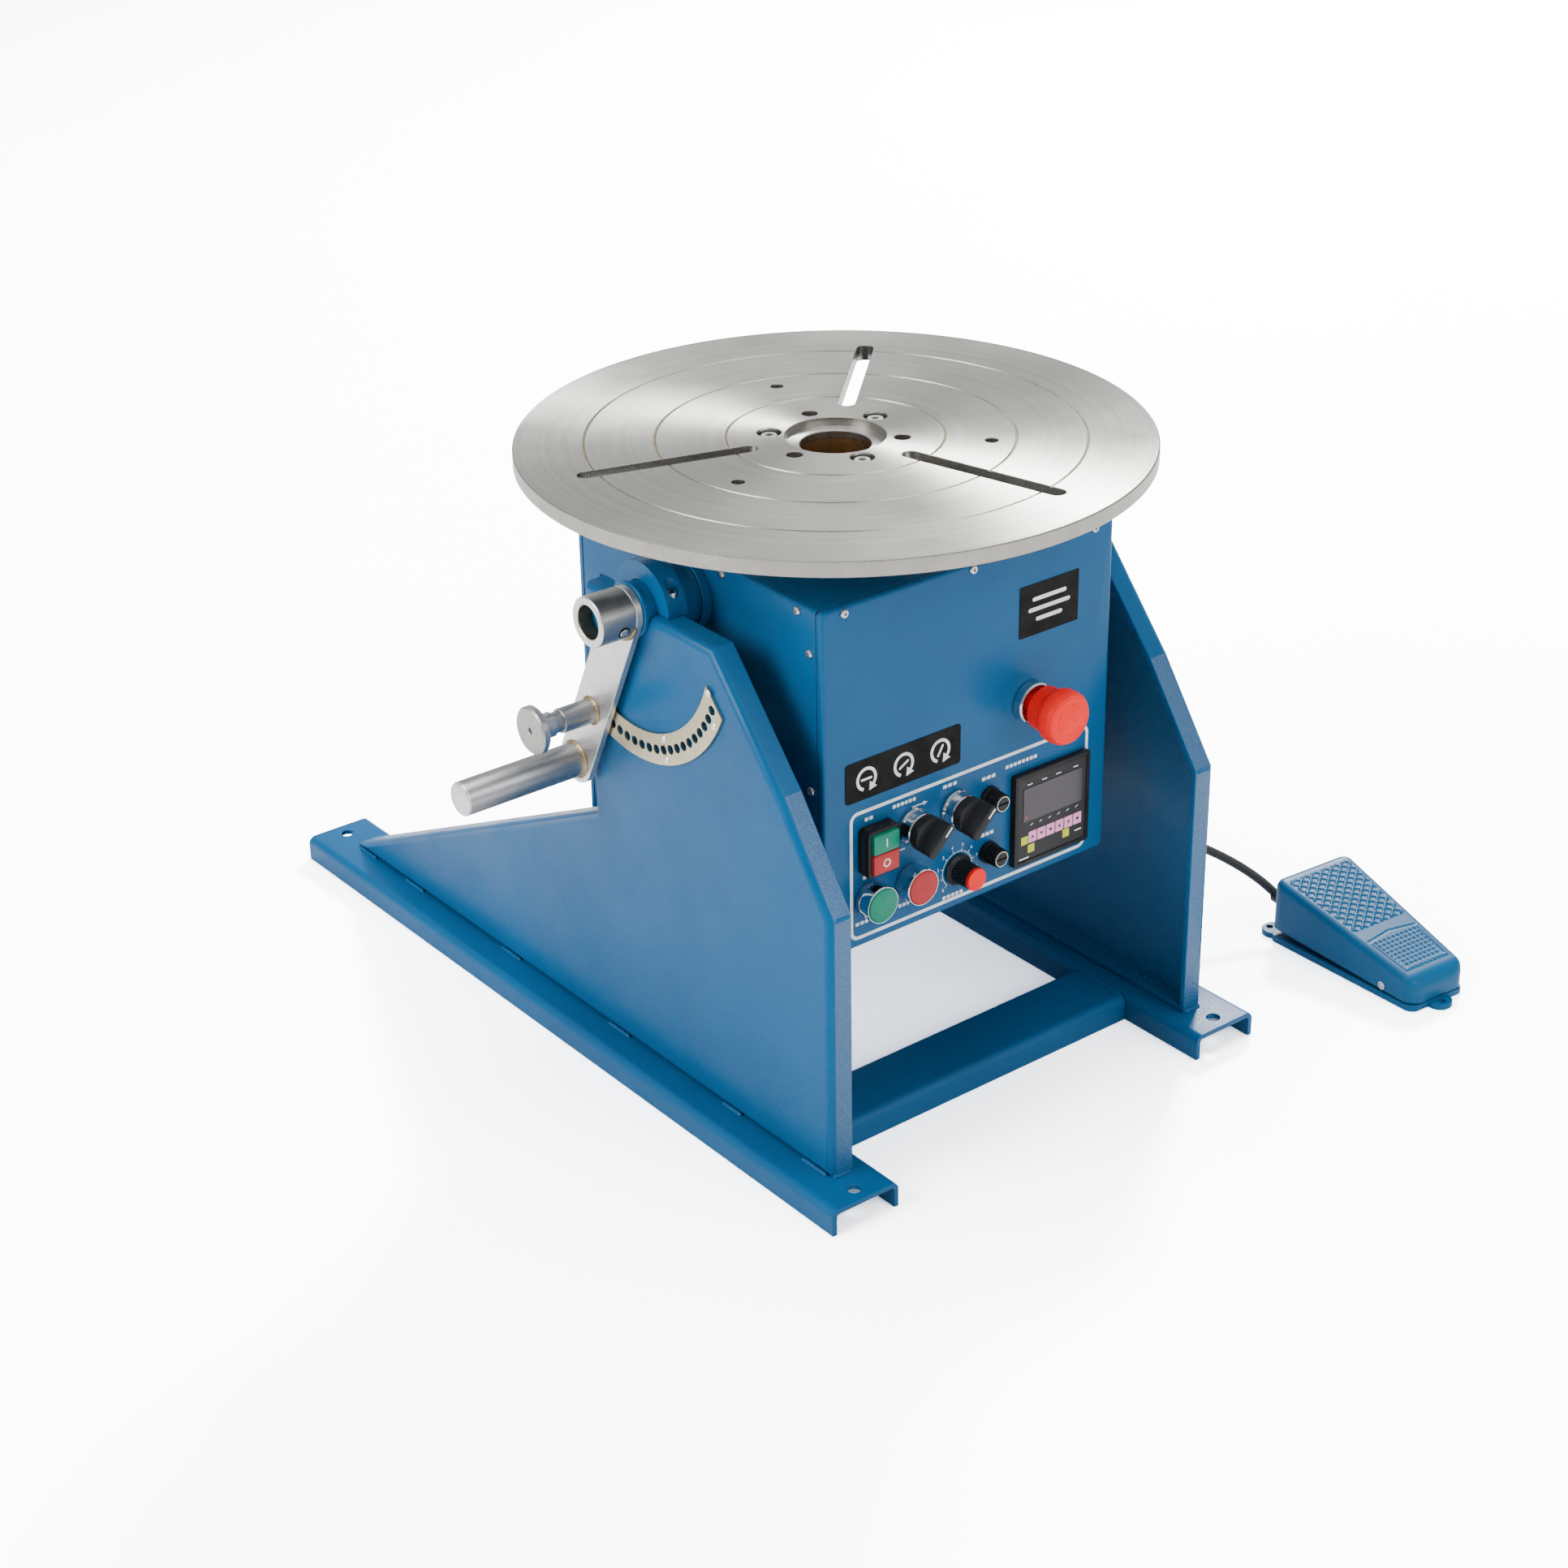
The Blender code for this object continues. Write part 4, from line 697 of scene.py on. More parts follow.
def bearing_caps():
    low_z = span("left_bearing_cap")[0].z
    seat = low_z + CAP_SCREW_DEPTH
    for side, name in SIDES:
        centre = (0.0, low_z)
        low, high = span(name + "_bearing_cap")
        outline = arc(centre, high.y, 0.0, 180.0, 64) + arc(centre, SEAT_BORE_R, 180.0, 0.0, 40)
        x = (low.x + high.x) / 2.0
        cuts = [rod(5.2, (x, y), "Z", seat, low_z + 60.0) for y in (-CAP_SCREW_Y, CAP_SCREW_Y)]
        piece(name + "_cap_skin", prism(outline, "X", low.x, high.x), "blue_paint", "stand",
              name + "_bearing_cap", bevel=0.8, cuts=cuts)
        for label, y in (("front", -CAP_SCREW_Y), ("rear", CAP_SCREW_Y)):
            socket_screw(f"{name}_cap_screw_{label}", (x, y, seat), 4.7, 5.5, "stand", AXES_UP)
        collar_start, collar_end = WEB_FACE + GAP, span("right_trunnion_bush")[1].x
        profile = [
            (SLEEVE_BORE_R, FLANGE_EDGE), (20.0, FLANGE_EDGE), (20.0, collar_start), (21.4, collar_start),
            (22.0, collar_start + 0.6), (22.0, collar_end - 0.8), (21.2, collar_end),
            (SLEEVE_BORE_R, collar_end),
        ]
        shell = turned(profile, (0.0, TILT_Z), "X", 64)
        piece(name + "_bush_skin", shell if side > 0 else mirrored(shell), "blue_paint", "stand",
              name + "_trunnion_bush")


def angle_scale():
    low, high = span("angle_scale")
    steps = 60
    outline = []
    for radius, start, end in ((123.0, -29.0, 65.5), (98.0, 72.0, -34.0)):
        for i in range(steps + 1):
            outline.append(index_point(radius, start + (end - start) * i / steps))
    holes = index_holes(-high.x - THROUGH, -low.x + THROUGH)
    piece("angle_scale_skin", prism(outline, "X", low.x, high.x), "nickel_plate", "stand", "angle_scale",
          bevel=0.25, cuts=holes)
    rivets = ((118.6, 59.5), (102.0, 69.8), (118.8, 20.2), (102.2, 21.8), (118.8, -24.0), (101.8, -26.0))
    scribed = [index_point(radius, 20.8) for radius in (105.0, 116.0)]
    line = prism(capsule(*scribed, 0.28, 4), "X", low.x - 0.06, low.x + 0.5)
    piece("scale_scribe", line, "painted_shade_and_scribe_black", "stand")
    for i, (radius, angle) in enumerate(rivets):
        y, z = index_point(radius, angle)
        dome = [(3.3, 0.0), (3.2, 0.5), (2.6, 1.1), (1.4, 1.5), (0.0, 1.6)]
        profile = [(r, -low.x - 0.05 + h) for r, h in dome]
        profile = [(0.0, -low.x - 0.05)] + profile
        piece(f"scale_rivet_{i}", mirrored(turned(profile, (y, z), "X", 20)), "rivet_zinc", "stand")


# ---------------------------------------------------------------- tilting housing

def wrapper():
    low, high = HOUSING_LOW, HOUSING_HIGH
    shell = prism(framed(low, high, 0.0, 3.2), "Y", low.y + 0.9, high.y - 0.6)
    hollow = prism(framed(low, high, 3.0, 1.0, 3), "Y", low.y - THROUGH, high.y + THROUGH)
    obj = piece("housing_wrapper", shell, "blue_paint", "tilt_head", "housing_shell", cuts=[hollow])
    carve(obj, [rod(58.3, (0.0, 0.0), "Z", high.z - 5.0, high.z + THROUGH, 96)])
    finish_mesh(obj, 0.5)
    # A near-black frame laid in the seam: painted shadow in the gap between the wrapper and the front cover
    shadow_line = prism(framed(low, high, 0.3, 3.0), "Y", low.y - 0.2, low.y + 0.8)
    piece("cover_joint", shadow_line, "painted_shade_and_scribe_black", "tilt_head", cuts=[hollow])
    cover("front_cover_skin", "front_panel", PANEL_Y, 1.0)
    cover("rear_cover_skin", "rear_cover", REAR_Y, -1.0)
    housing_screws()
    rear_vents()


def cover(name, node, face, inward):
    """A folded sheet cover with round edges; controls pass through it on their own necks."""
    low, high = span(node)
    depth = high.y - low.y
    bend, sheet = 3.0, 2.5
    profile = []
    for i in range(7):
        turn = math.radians(15.0 * i)
        profile.append((bend - bend * math.sin(turn), bend - bend * math.cos(turn)))
    profile += [(0.0, depth), (sheet, depth), (sheet, sheet)]
    steps = [(distance, face + inward * back) for distance, back in profile]
    outline = framed(low, high, 0.0, 4.5)
    cuts = panel_holes() if inward > 0 else []
    piece(name, layers(outline, steps, "Y"), "blue_paint", "tilt_head", node, cuts=cuts)


def panel_holes():
    near, far = PANEL_Y - THROUGH, PANEL_Y + 4.0
    radii = {
        "estop_base": 11.0, "direction_base": 11.0, "auto_base": 11.0, "start_bezel": 11.0,
        "stop_bezel": 11.0, "speed_control": 4.5, "upper_fuse_holder": 6.5, "lower_fuse_holder": 6.5,
    }
    cuts = [rod(radius, axis_of(node), "Y", near, far) for node, radius in radii.items()]
    for node, border in (("switch_frame", 2.2), ("display_unit", 4.2)):
        cuts.append(prism(framed(*span(node), border, 1.0, 2), "Y", near, far))
    return cuts


def housing_screws():
    """The small domed screws along the seams of the covers and the wrapper."""
    spots = []
    for i, x in enumerate((-124.5, 0.0, 124.5)):
        spots.append((f"panel_screw_{i}", (x, PANEL_Y - 0.02, HOUSING_HIGH.z - 5.0), 3.5, 2.2, AXES_FRONT))
    seam = ((-134.0, 445.5), (-43.5, 444.5), (48.0, 444.5), (-147.8, 416.0), (-148.2, 303.5), (-148.0, 190.0))
    for i, (y, z) in enumerate(seam):
        for (side, label), axes in zip(SIDES, (AXES_LEFT, AXES_RIGHT)):
            place = (side * (HOUSING_HIGH.x + 0.02), y, z)
            spots.append((f"side_screw_{label}_{i}", place, 3.4, 2.2, axes))
    for i in range(6):
        place = (125.0 * (i % 3 - 1), REAR_Y + 0.02, 446.0 if i < 3 else 168.0)
        spots.append((f"rear_screw_{i}", place, 3.9, 2.4, AXES_REAR))
    for name, place, radius, height, axes in spots:
        socket_screw(name, place, radius, height, "tilt_head", axes, domed=True)


def rear_vents():
    """Pressed louvres in the rear cover, each a low hood over its slot."""
    for i in range(7):
        z = 215.0 + 12.0 * i
        rings = []
        for x, size in ((-45.0, 0.15), (-41.0, 1.0), (41.0, 1.0), (45.0, 0.15)):
            ring = []
            for a, b in ((-3.2, 0.02), (-2.6, 1.4 * size), (0.5, 3.0 * size), (3.0, 3.2 * size), (3.2, 0.02)):
                ring.append((x, REAR_Y + b, z - a * (0.4 + 0.6 * size)))
            rings.append(ring)
        piece(f"rear_louvre_{i}", loft(rings), "blue_paint", "tilt_head")
        # A near-black strip under each hood: painted shade in place of the open slot
        slot = box((-40.0, REAR_Y + 0.02, z - 3.9), (40.0, REAR_Y + 0.3, z - 2.9))
        piece(f"rear_louvre_slot_{i}", slot, "painted_shade_and_scribe_black", "tilt_head")


def trunnions():
    face = HOUSING_HIGH.x + GAP
    for side, label in SIDES:
        name = label + "_trunnion"
        low, high = span(name)
        reach = max(abs(low.x), abs(high.x))
        profile = [
            (0.0, face), (30.0, face), (30.0, face + 6.8), (28.8, face + 8.0), (26.6, face + 8.0),
            (25.0, face + 9.6), (25.0, face + 23.0), (24.0, face + 24.0), (SHAFT_BORE_R, face + 24.0),
            (SHAFT_BORE_R, reach - 1.0), (12.2, reach), (0.0, reach),
        ]
        if side > 0:
            profile[0] = (8.0, face)
            profile[-1] = (8.0, reach)
        shell = turned(profile, (0.0, TILT_Z), "X", 72)
        piece(name + "_skin", shell if side > 0 else mirrored(shell), "blue_paint", "tilt_head", name)
    hexagon_plug()


def hexagon_plug():
    """A pressed hexagonal plug in the lever side of the housing, a thin rim round a sunk face, painted a
    darker blue all over as painted shade.
    """
    centre, size = (108.0, 374.5), 19.5
    rings = []
    for scale, depth in ((1.0, 0.02), (1.0, 1.0), (0.95, 1.5), (0.88, 1.5), (0.84, 0.3)):
        x = -HOUSING_HIGH.x - depth
        rings.append([(x, centre[0] + a * scale, centre[1] + b * scale) for a, b in hexagon(size, 24)])
    piece("hexagon_plug", loft(rings), "painted_shade_blue", "tilt_head")


# ---------------------------------------------------------------- lever and index plunger

def left_turned(profile, centre, steps=64):
    return mirrored(turned(profile, centre, "X", steps))


def fillet_ring(name, centre, radius, start, size, material, body="tilt_head"):
    """The heat-tinted fillet of a weld round a bar's root."""
    profile = [(radius + 0.02, start), (radius + size, start), (radius + size * 0.45, start + size * 0.35),
               (radius + size * 0.12, start + size * 0.9), (radius + 0.02, start + size)]
    shell = left_turned(profile, centre, 48)
    verts = []
    for x, y, z in shell[0]:
        angle = math.atan2(z - centre[1], y - centre[0])
        ripple = 0.12 * size * math.sin(angle * 17.0)
        away = math.hypot(y - centre[0], z - centre[1])
        grow = 1.0 + ripple / away * (1.0 if away > radius + 0.2 else 0.0)
        verts.append((x, centre[0] + (y - centre[0]) * grow, centre[1] + (z - centre[1]) * grow))
    return piece(name, (verts, shell[1]), material, body)


def lever():
    hub = (0.0, TILT_Z)
    pin = index_point(INDEX_R, -ARM_ANGLE)
    tip = index_point(GRIP_R, -ARM_ANGLE)
    arm_low, arm_high = span("lever_arm")
    cuts = []
    for radius, centre, steps in ((SLEEVE_BORE_R, hub, 48), (4.2, pin, 24)):
        cuts.append(rod(radius, centre, "X", arm_low.x - THROUGH, arm_high.x + THROUGH, steps))
    arm = prism(capsule(hub, tip, 20.0, 28), "X", arm_low.x, arm_high.x)
    piece("lever_arm_skin", arm, "bright_zinc", "tilt_head", "lever_arm", bevel=0.6, cuts=cuts)
    start = GAP - arm_low.x
    end = -span("lever_sleeve")[0].x
    sleeve = [
        (SLEEVE_BORE_R, start), (19.6, start), (20.0, start + 0.6), (20.0, end - 0.8), (19.2, end),
        (14.3, end), (SLEEVE_BORE_R, end - 0.8),
    ]
    obj = piece("lever_sleeve_skin", left_turned(sleeve, hub, 96), "zinc_steel", "tilt_head", "lever_sleeve")
    axis = at((0.0, 0.0, TILT_Z)).yz
    repaint(obj, "heat_tint", lambda face: (face.center.yz - axis).length < (SLEEVE_BORE_R + 0.3) * MM)
    repaint(obj, "bright_zinc", lambda face: face.normal.x < -0.3)
    set_screw(hub, (start + end) / 2.0 - 5.0)
    weld_bead("sleeve_weld", sleeve_weld_path(hub, start), 2.0, "heat_tint", "tilt_head")
    reach = -span("lever_grip")[0].x
    grip = [
        (0.0, start), (14.0, start), (14.0, reach - 2.4), (13.3, reach - 0.8), (11.8, reach), (0.0, reach),
    ]
    obj = piece("lever_grip_skin", left_turned(grip, tip, 80), "zinc_steel", "tilt_head", "lever_grip")
    repaint(obj, "bright_zinc", lambda face: face.normal.x < -0.3)
    fillet_ring("grip_weld", tip, 14.0, start, 2.2, "heat_tint")


def sleeve_weld_path(hub, start):
    path = []
    for i in range(13):
        y, z = polar(hub, 20.4, -20.0 - 140.0 * i / 12.0)
        path.append((-start - 0.6, y, z))
    return path


def set_screw(hub, x):
    outward = Vector((0.0, -0.914, -0.406))
    across = Vector((1.0, 0.0, 0.0))
    along = outward.cross(across)
    place = Vector((-x, hub[0], hub[1])) + outward * 18.2
    socket_screw("sleeve_set_screw", place, 3.8, 2.6, "tilt_head", (across, along, outward))
    # A near-black ring round the set screw: painted shade in the screw's hole
    ring = []
    for radius, rise in ((3.9, 1.2), (5.0, 1.2), (5.0, 1.9), (3.9, 1.95)):
        circle_points = circle((0.0, 0.0), radius, 24)
        ring.append([tuple(place + across * a + along * b + outward * rise) for a, b in circle_points])
    piece("sleeve_screw_seat", loft(ring + ring[:1], closed_ends=False), "painted_shade_and_scribe_black", "tilt_head")


def plunger():
    pin = index_point(INDEX_R, -ARM_ANGLE)
    start = -span("plunger_guide")[1].x
    nose = -span("plunger_guide")[0].x
    guide = [
        (6.2, start), (10.0, start), (10.0, PLUNGER_SHOULDER - 0.6), (9.4, PLUNGER_SHOULDER),
        (8.4, PLUNGER_SHOULDER), (8.4, nose), (3.8, nose), (3.8, nose - 5.0), (6.2, nose - 5.0),
    ]
    piece("plunger_guide_skin", left_turned(guide, pin, 64), "zinc_steel", "tilt_head", "plunger_guide")
    fillet_ring("guide_weld", pin, 10.0, start, 2.0, "heat_tint")
    low, high = span("index_plunger")
    tip, disc = -high.x, -low.x - 7.0
    knob = [
        (0.0, tip), (2.6, tip), (3.4, tip + 1.5), (3.4, 216.0), (5.6, 216.0), (5.6, 218.5), (3.4, 218.5),
        (3.4, disc), (8.7, disc), (8.7, disc - 12.5), (10.0, disc - 12.5), (10.0, disc - 0.8), (10.8, disc),
        (18.3, disc), (19.5, disc + 1.2), (19.5, disc + 5.6), (18.1, disc + 7.0), (3.1, disc + 7.0),
        (2.4, disc + 6.3), (2.4, disc + 3.5), (0.0, disc + 3.0),
    ]
    obj = piece("index_plunger_skin", left_turned(knob, pin, 72), "turned_zinc", "plunger", "index_plunger")
    repaint(obj, "face_zinc", lambda face: face.normal.x < -0.6)


# ---------------------------------------------------------------- table, spindle and bearing housing

def flared(outline, low, high):
    """A cutter that also breaks the edge it leaves in the table's top."""
    steps = [(0.0, low), (0.0, high - THROUGH - 0.5), (-0.5, high - THROUGH), (-0.5, high)]
    return layers(outline, steps, "Z")


def in_groove(face):
    """Whether a face of the table lies on the floor or a slope of a marking groove."""
    radius = (face.center - at((0.0, 0.0, 0.0))).xy.length / MM
    height = face.center.z / MM - TABLE_TOP
    return min(abs(radius - groove) for groove in GROOVE_RADII) < 0.8 and -1.2 < height < -0.1


def table():
    low, top = TABLE_TOP - TABLE_THICK, TABLE_TOP
    profile = [
        (28.0, low), (TABLE_R - 0.8, low), (TABLE_R, low + 0.8), (TABLE_R, top - 1.0), (TABLE_R - 1.0, top),
    ]
    for radius in GROOVE_RADII:
        profile += [(radius + across, top - down) for across, down in GROOVE]
    profile += [(40.1, top), (39.5, top - 0.6), (39.5, top - 7.0), (28.6, top - 7.0), (28.0, top - 7.6)]
    cuts = []
    axis = (0.0, 0.0)
    floor, above = low - THROUGH, top + THROUGH
    for angle in SLOT_ANGLES:
        ends = [polar(axis, radius, angle) for radius in (72.0, 204.0)]
        cuts.append(flared(capsule(*ends, 7.0, 20), floor, above))
    for angle in TAPPED_ANGLES:
        for circle_radius, hole_radius in ((HOLE_CIRCLE_R, 6.4), (OUTER_CIRCLE_R, 5.2)):
            cuts.append(flared(circle(polar(axis, circle_radius, angle), hole_radius, 40), floor, above))
    seat = top - 9.0
    well = [
        (0.0, floor), (5.2, floor), (5.2, seat), (9.6, seat), (9.6, top - 0.5), (10.1, top), (10.1, above),
        (0.0, above),
    ]
    places = [polar(axis, HOLE_CIRCLE_R, angle) for angle in SCREW_ANGLES]
    cuts += [turned(well, place, "Z", 48) for place in places]
    plate = turned(profile, axis, "Z", 256)
    obj = piece("table_plate", plate, "machined_steel", "turntable", "table", cuts=cuts)
    repaint(obj, "turned_steel", lambda face: abs(face.normal.z) < 0.9)
    # The grooves' faces are painted dark brown as painted shade
    repaint(obj, "groove_painted_shade_brown", in_groove)
    for i, (x, y) in enumerate(places):
        socket_screw(f"table_screw_{i}", (x, y, seat), 6.9, 7.0, "turntable", AXES_UP)


def spindle():
    low, high = span("spindle")
    under, bottom = high.z, low.z
    profile = [
        (28.0, bottom), (34.0, bottom), (34.0, under - 9.0), (65.0, under - 9.0), (66.0, under - 8.0),
        (66.0, under), (28.0, under),
    ]
    piece("spindle_skin", turned(profile, (0.0, 0.0), "Z", 128), "bore_bronze", "turntable", "spindle")
    low, high = span("bearing_housing")
    base, top = low.z, high.z
    flange = HOUSING_HIGH.z + GAP
    profile = [
        (48.0, base), (58.0, base), (58.0, flange), (80.0, flange), (80.0, flange + 8.6),
        (78.8, flange + 9.7),
        (60.0, flange + 9.7), (58.0, flange + 12.0), (58.0, top - 1.0), (57.0, top), (48.0, top),
    ]
    piece("bearing_housing_skin", turned(profile, (0.0, 0.0), "Z", 128), "dark_steel", "tilt_head",
          "bearing_housing")
    for i in range(6):
        x, y = polar((0.0, 0.0), 69.5, 60.0 * i + 15.0)
        socket_screw(f"bearing_housing_screw_{i}", (x, y, flange + 9.6), 5.4, 5.4, "tilt_head", AXES_UP)


# ---------------------------------------------------------------- control panel

def out(height):
    """The Y of a point at a height over the front panel's face."""
    return PANEL_Y - height


def axis_of(node):
    centre = middle(node)
    return (centre.x, centre.z)


def panel_turned(centre, profile, steps=64):
    return turned([(radius, out(height)) for radius, height in profile], centre, "Y", steps)


def panel_piece(name, node, profile, material, body="tilt_head", steps=64):
    """A turned piece that stands for a node of the panel, on the node's own axis."""
    return piece(name, panel_turned(axis_of(node), profile, steps), material, body, node)


def control_body(depth, bore, floor, head, body=14.0, neck=10.6):
    """A control's profile: its body behind the panel, its neck, its head, and the bore down its middle."""
    back = [(0.0, -depth), (body, -depth), (body, -3.0), (neck, -3.0), (neck, GAP)]
    return back + head + [(bore, head[-1][1]), (bore, -floor), (0.0, -floor)]


def flat_ring(centre, inner, outer, low, high, steps):
    return panel_turned(centre, [(inner, high), (outer, high), (outer, low), (inner, low)], steps)


def fluted(centre, profile, steps, flutes=24):
    """A ribbed round body from rows of height, radius and depth of the flutes."""
    rings = []
    for height, radius, depth in profile:
        ring = []
        for k in range(steps):
            angle = 360.0 * k / steps
            ripple = depth * math.cos(math.radians(angle * flutes))
            a, b = polar(centre, radius + ripple - depth, angle)
            ring.append((a, out(height), b))
        rings.append(ring)
    return loft(rings)


def panel_layers(node, radius, corner_steps, steps):
    """A rounded body over a node's outline, from steps of inset and height."""
    outline = framed(*span(node), 0.0, radius, corner_steps)
    return layers(outline, [(distance, out(height)) for distance, height in steps], "Y")


def flat_mark(name, outline, height, material, body="tilt_head", thick=0.25):
    """A printed or inlaid mark lying on the panel."""
    shell = prism(outline, "Y", out(height + thick), out(height + 0.02))
    return piece(name, shell, material, body)


def ink(name, outline, height=0.0, thick=0.1, body="tilt_head"):
    return flat_mark(name, outline, height, "white_ink", body, thick)


def stroke(start, end, width):
    return capsule(start, end, width / 2.0, 4)


def emergency_stop():
    head = [(16.4, GAP), (17.0, 1.0), (17.0, 8.2), (15.8, 9.5)]
    panel_piece("estop_bezel", "estop_base", control_body(55.0, 8.4, 32.0, head), "chrome")
    mushroom = [
        (0.0, -20.0), (8.0, -20.0), (8.0, 16.0), (16.6, 16.0), (18.0, 17.6), (18.2, 30.0), (20.6, 31.4),
        (21.8, 33.5), (22.0, 36.5), (22.0, 41.0), (21.5, 44.0), (19.8, 46.6), (17.0, 47.6), (15.6, 47.2),
        (14.8, 47.3), (9.0, 48.4), (0.0, 48.9),
    ]
    panel_piece("estop_mushroom", "estop_head", mushroom, "red_plastic", "estop", 96)
    for i in range(3):
        points = arc(axis_of("estop_head"), 12.3, 120.0 * i + 10.0, 120.0 * i + 85.0, 10)
        path = [(a, out(47.75), b) for a, b in points]
        radii = [0.55] * (len(path) - 2) + [0.9, 0.15]
        piece(f"estop_arrow_{i}", swept(path, radii, 8), "red_plastic", "estop")


def selector(name):
    """A selector switch: a chrome bezel, and a disc with a bar handle that lies at 45 degrees."""
    head = [(15.0, GAP), (15.4, 0.8), (15.4, 2.4), (14.6, 3.6), (14.2, 4.4), (14.2, 11.6), (13.4, 12.6)]
    panel_piece(name + "_bezel", name + "_base", control_body(45.0, 6.4, 20.0, head), "chrome")
    disc = [
        (0.0, -12.0), (6.0, -12.0), (6.0, 13.2), (14.2, 13.2), (14.8, 13.8), (14.8, 20.6), (14.3, 21.6),
        (13.3, 22.0), (0.0, 22.0),
    ]
    x, z = axis_of(name + "_base")
    diagonal = math.sqrt(0.5)

    def slanted(outline):
        return [(x + diagonal * (a - b), z + diagonal * (a + b)) for a, b in outline]

    rings = []
    for height, length, width in ((19.5, 14.65, 5.2), (26.0, 14.8, 4.4), (33.4, 15.0, 4.0), (34.6, 14.6, 3.6),
                                  (35.0, 13.9, 3.1)):
        outline = rounded_box((-length, -width), (length, width), min(2.0, width * 0.5), 4)
        rings.append([(a, out(height), b) for a, b in slanted(outline)])
    piece(name + "_handle", panel_turned((x, z), disc, 72), "knob_grey", name, name + "_knob",
          adds=[loft(rings)], bevel=0.25)
    mark = slanted([(4.5, -0.8), (13.6, -0.8), (13.6, 0.8), (4.5, 0.8)])
    ink(name + "_pointer", mark, 35.0, 0.2, name)


def push_button(name, colour):
    head = [
        (13.8, GAP), (14.2, 0.9), (14.2, 4.5), (15.3, 6.6), (15.4, 7.4), (15.4, 16.4), (14.9, 17.0),
        (14.5, 17.0), (14.3, 16.7), (14.3, 8.4),
    ]
    panel_piece(name + "_sleeve", name + "_bezel", control_body(50.0, 8.8, 30.0, head), "chrome", steps=72)
    cap = [
        (0.0, -20.0), (8.4, -20.0), (8.4, 12.0), (14.0, 12.0), (14.0, 17.2), (13.7, 17.7), (13.0, 18.0),
        (0.0, 18.05),
    ]
    panel_piece(name + "_cap", name + "_button", cap, colour, name, 72)


def fuse(name):
    head = [(9.0, GAP), (9.2, 0.6), (9.2, 3.8), (8.8, 4.6)]
    holder = control_body(40.0, 5.3, 28.0, head, body=7.5, neck=6.1)
    panel_piece(name + "_base", name + "_holder", holder, "black_plastic")
    centre = x, z = axis_of(name + "_cap")
    ribbed = fluted(centre, ((5.0, 8.3, 0.35), (15.2, 7.9, 0.35), (16.4, 7.5, 0.2), (17.0, 6.8, 0.0)), 96)
    slot = box((x - 5.6, out(18.0), z - 0.75), (x + 5.6, out(15.6), z + 0.75))
    body = name.replace("_fuse", "") + "_cap"
    piece(name + "_ribbed_cap", ribbed, "black_plastic", body, name + "_cap", cuts=[slot])
    stem = panel_turned(centre, [(0.0, -24.0), (4.9, -24.0), (4.9, 5.2), (0.0, 5.2)], 24)
    piece(name + "_cap_stem", stem, "black_plastic", body)
    piece(name + "_cap_ring", flat_ring(centre, 5.9, 6.4, 16.9, 17.12, 48), "screw_zinc", body)


def speed_knob():
    centre = axis_of("speed_knob")
    profile = ((0.8, 12.6, 0.0), (0.9, 13.0, 0.0), (2.2, 13.0, 0.0), (3.0, 12.2, 0.0), (3.8, 10.6, 0.0),
               (4.6, 10.3, 0.45), (19.6, 9.7, 0.45), (20.6, 9.4, 0.2), (21.0, 9.3, 0.0))
    bush_room = rod(4.7, centre, "Y", out(6.0), out(-THROUGH), 32)
    skirt = fluted(centre, profile, 144)
    piece("speed_knob_skirt", skirt, "knob_grey", "speed", "speed_knob", cuts=[bush_room])
    cap = [(0.0, 20.6), (9.3, 20.6), (9.4, 21.2), (9.4, 23.2), (8.9, 23.9), (8.0, 24.1), (0.0, 24.2)]
    piece("speed_knob_cap", panel_turned(centre, cap, 72), "red_plastic", "speed")
    pointer = [polar(centre, radius, 152.0) for radius in (10.9, 12.7)]
    ink("speed_knob_pointer", stroke(*pointer, 0.7), 2.2, 0.12, "speed")
    dial_marks(centre)


def dial_marks(centre):
    """A printed ring of ten numbered ticks round the speed knob."""
    first, last = 225.0, -45.0
    ring = arc(centre, 15.4, first, last, 48) + arc(centre, 14.9, last, first, 48)
    ink("dial_ring", ring, thick=0.12)
    for i in range(10):
        angle = first + (last - first) * i / 9.0
        ends = [polar(centre, radius, angle) for radius in (15.2, 17.6)]
        ink(f"dial_tick_{i}", stroke(*ends, 0.55), thick=0.14)
        digit(f"dial_number_{i}", str(i), *polar(centre, 20.6, angle), 4.2)


def digit(name, text, x, z, size):
    """One printed character, as a solid mesh on the panel."""
    curve = bpy.data.curves.new(name, "FONT")
    curve.body = text
    curve.size = size * MM
    curve.extrude = 0.07 * MM
    curve.align_x = "CENTER"
    curve.align_y = "CENTER"
    source = bpy.data.objects.new(name + "_source", curve)
    bpy.context.scene.collection.objects.link(source)
    graph = bpy.context.evaluated_depsgraph_get()
    mesh = bpy.data.meshes.new_from_object(source.evaluated_get(graph))
    bpy.data.objects.remove(source)
    mesh.transform(Matrix.Translation(at((x, out(0.1), z))) @ Matrix.Rotation(math.radians(90.0), 4, "X"))
    obj = bpy.data.objects.new(name, mesh)
    bpy.context.scene.collection.objects.link(obj)
    mesh.materials.clear()
    mesh.materials.append(MATERIALS["white_ink"])
    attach(obj, "tilt_head")


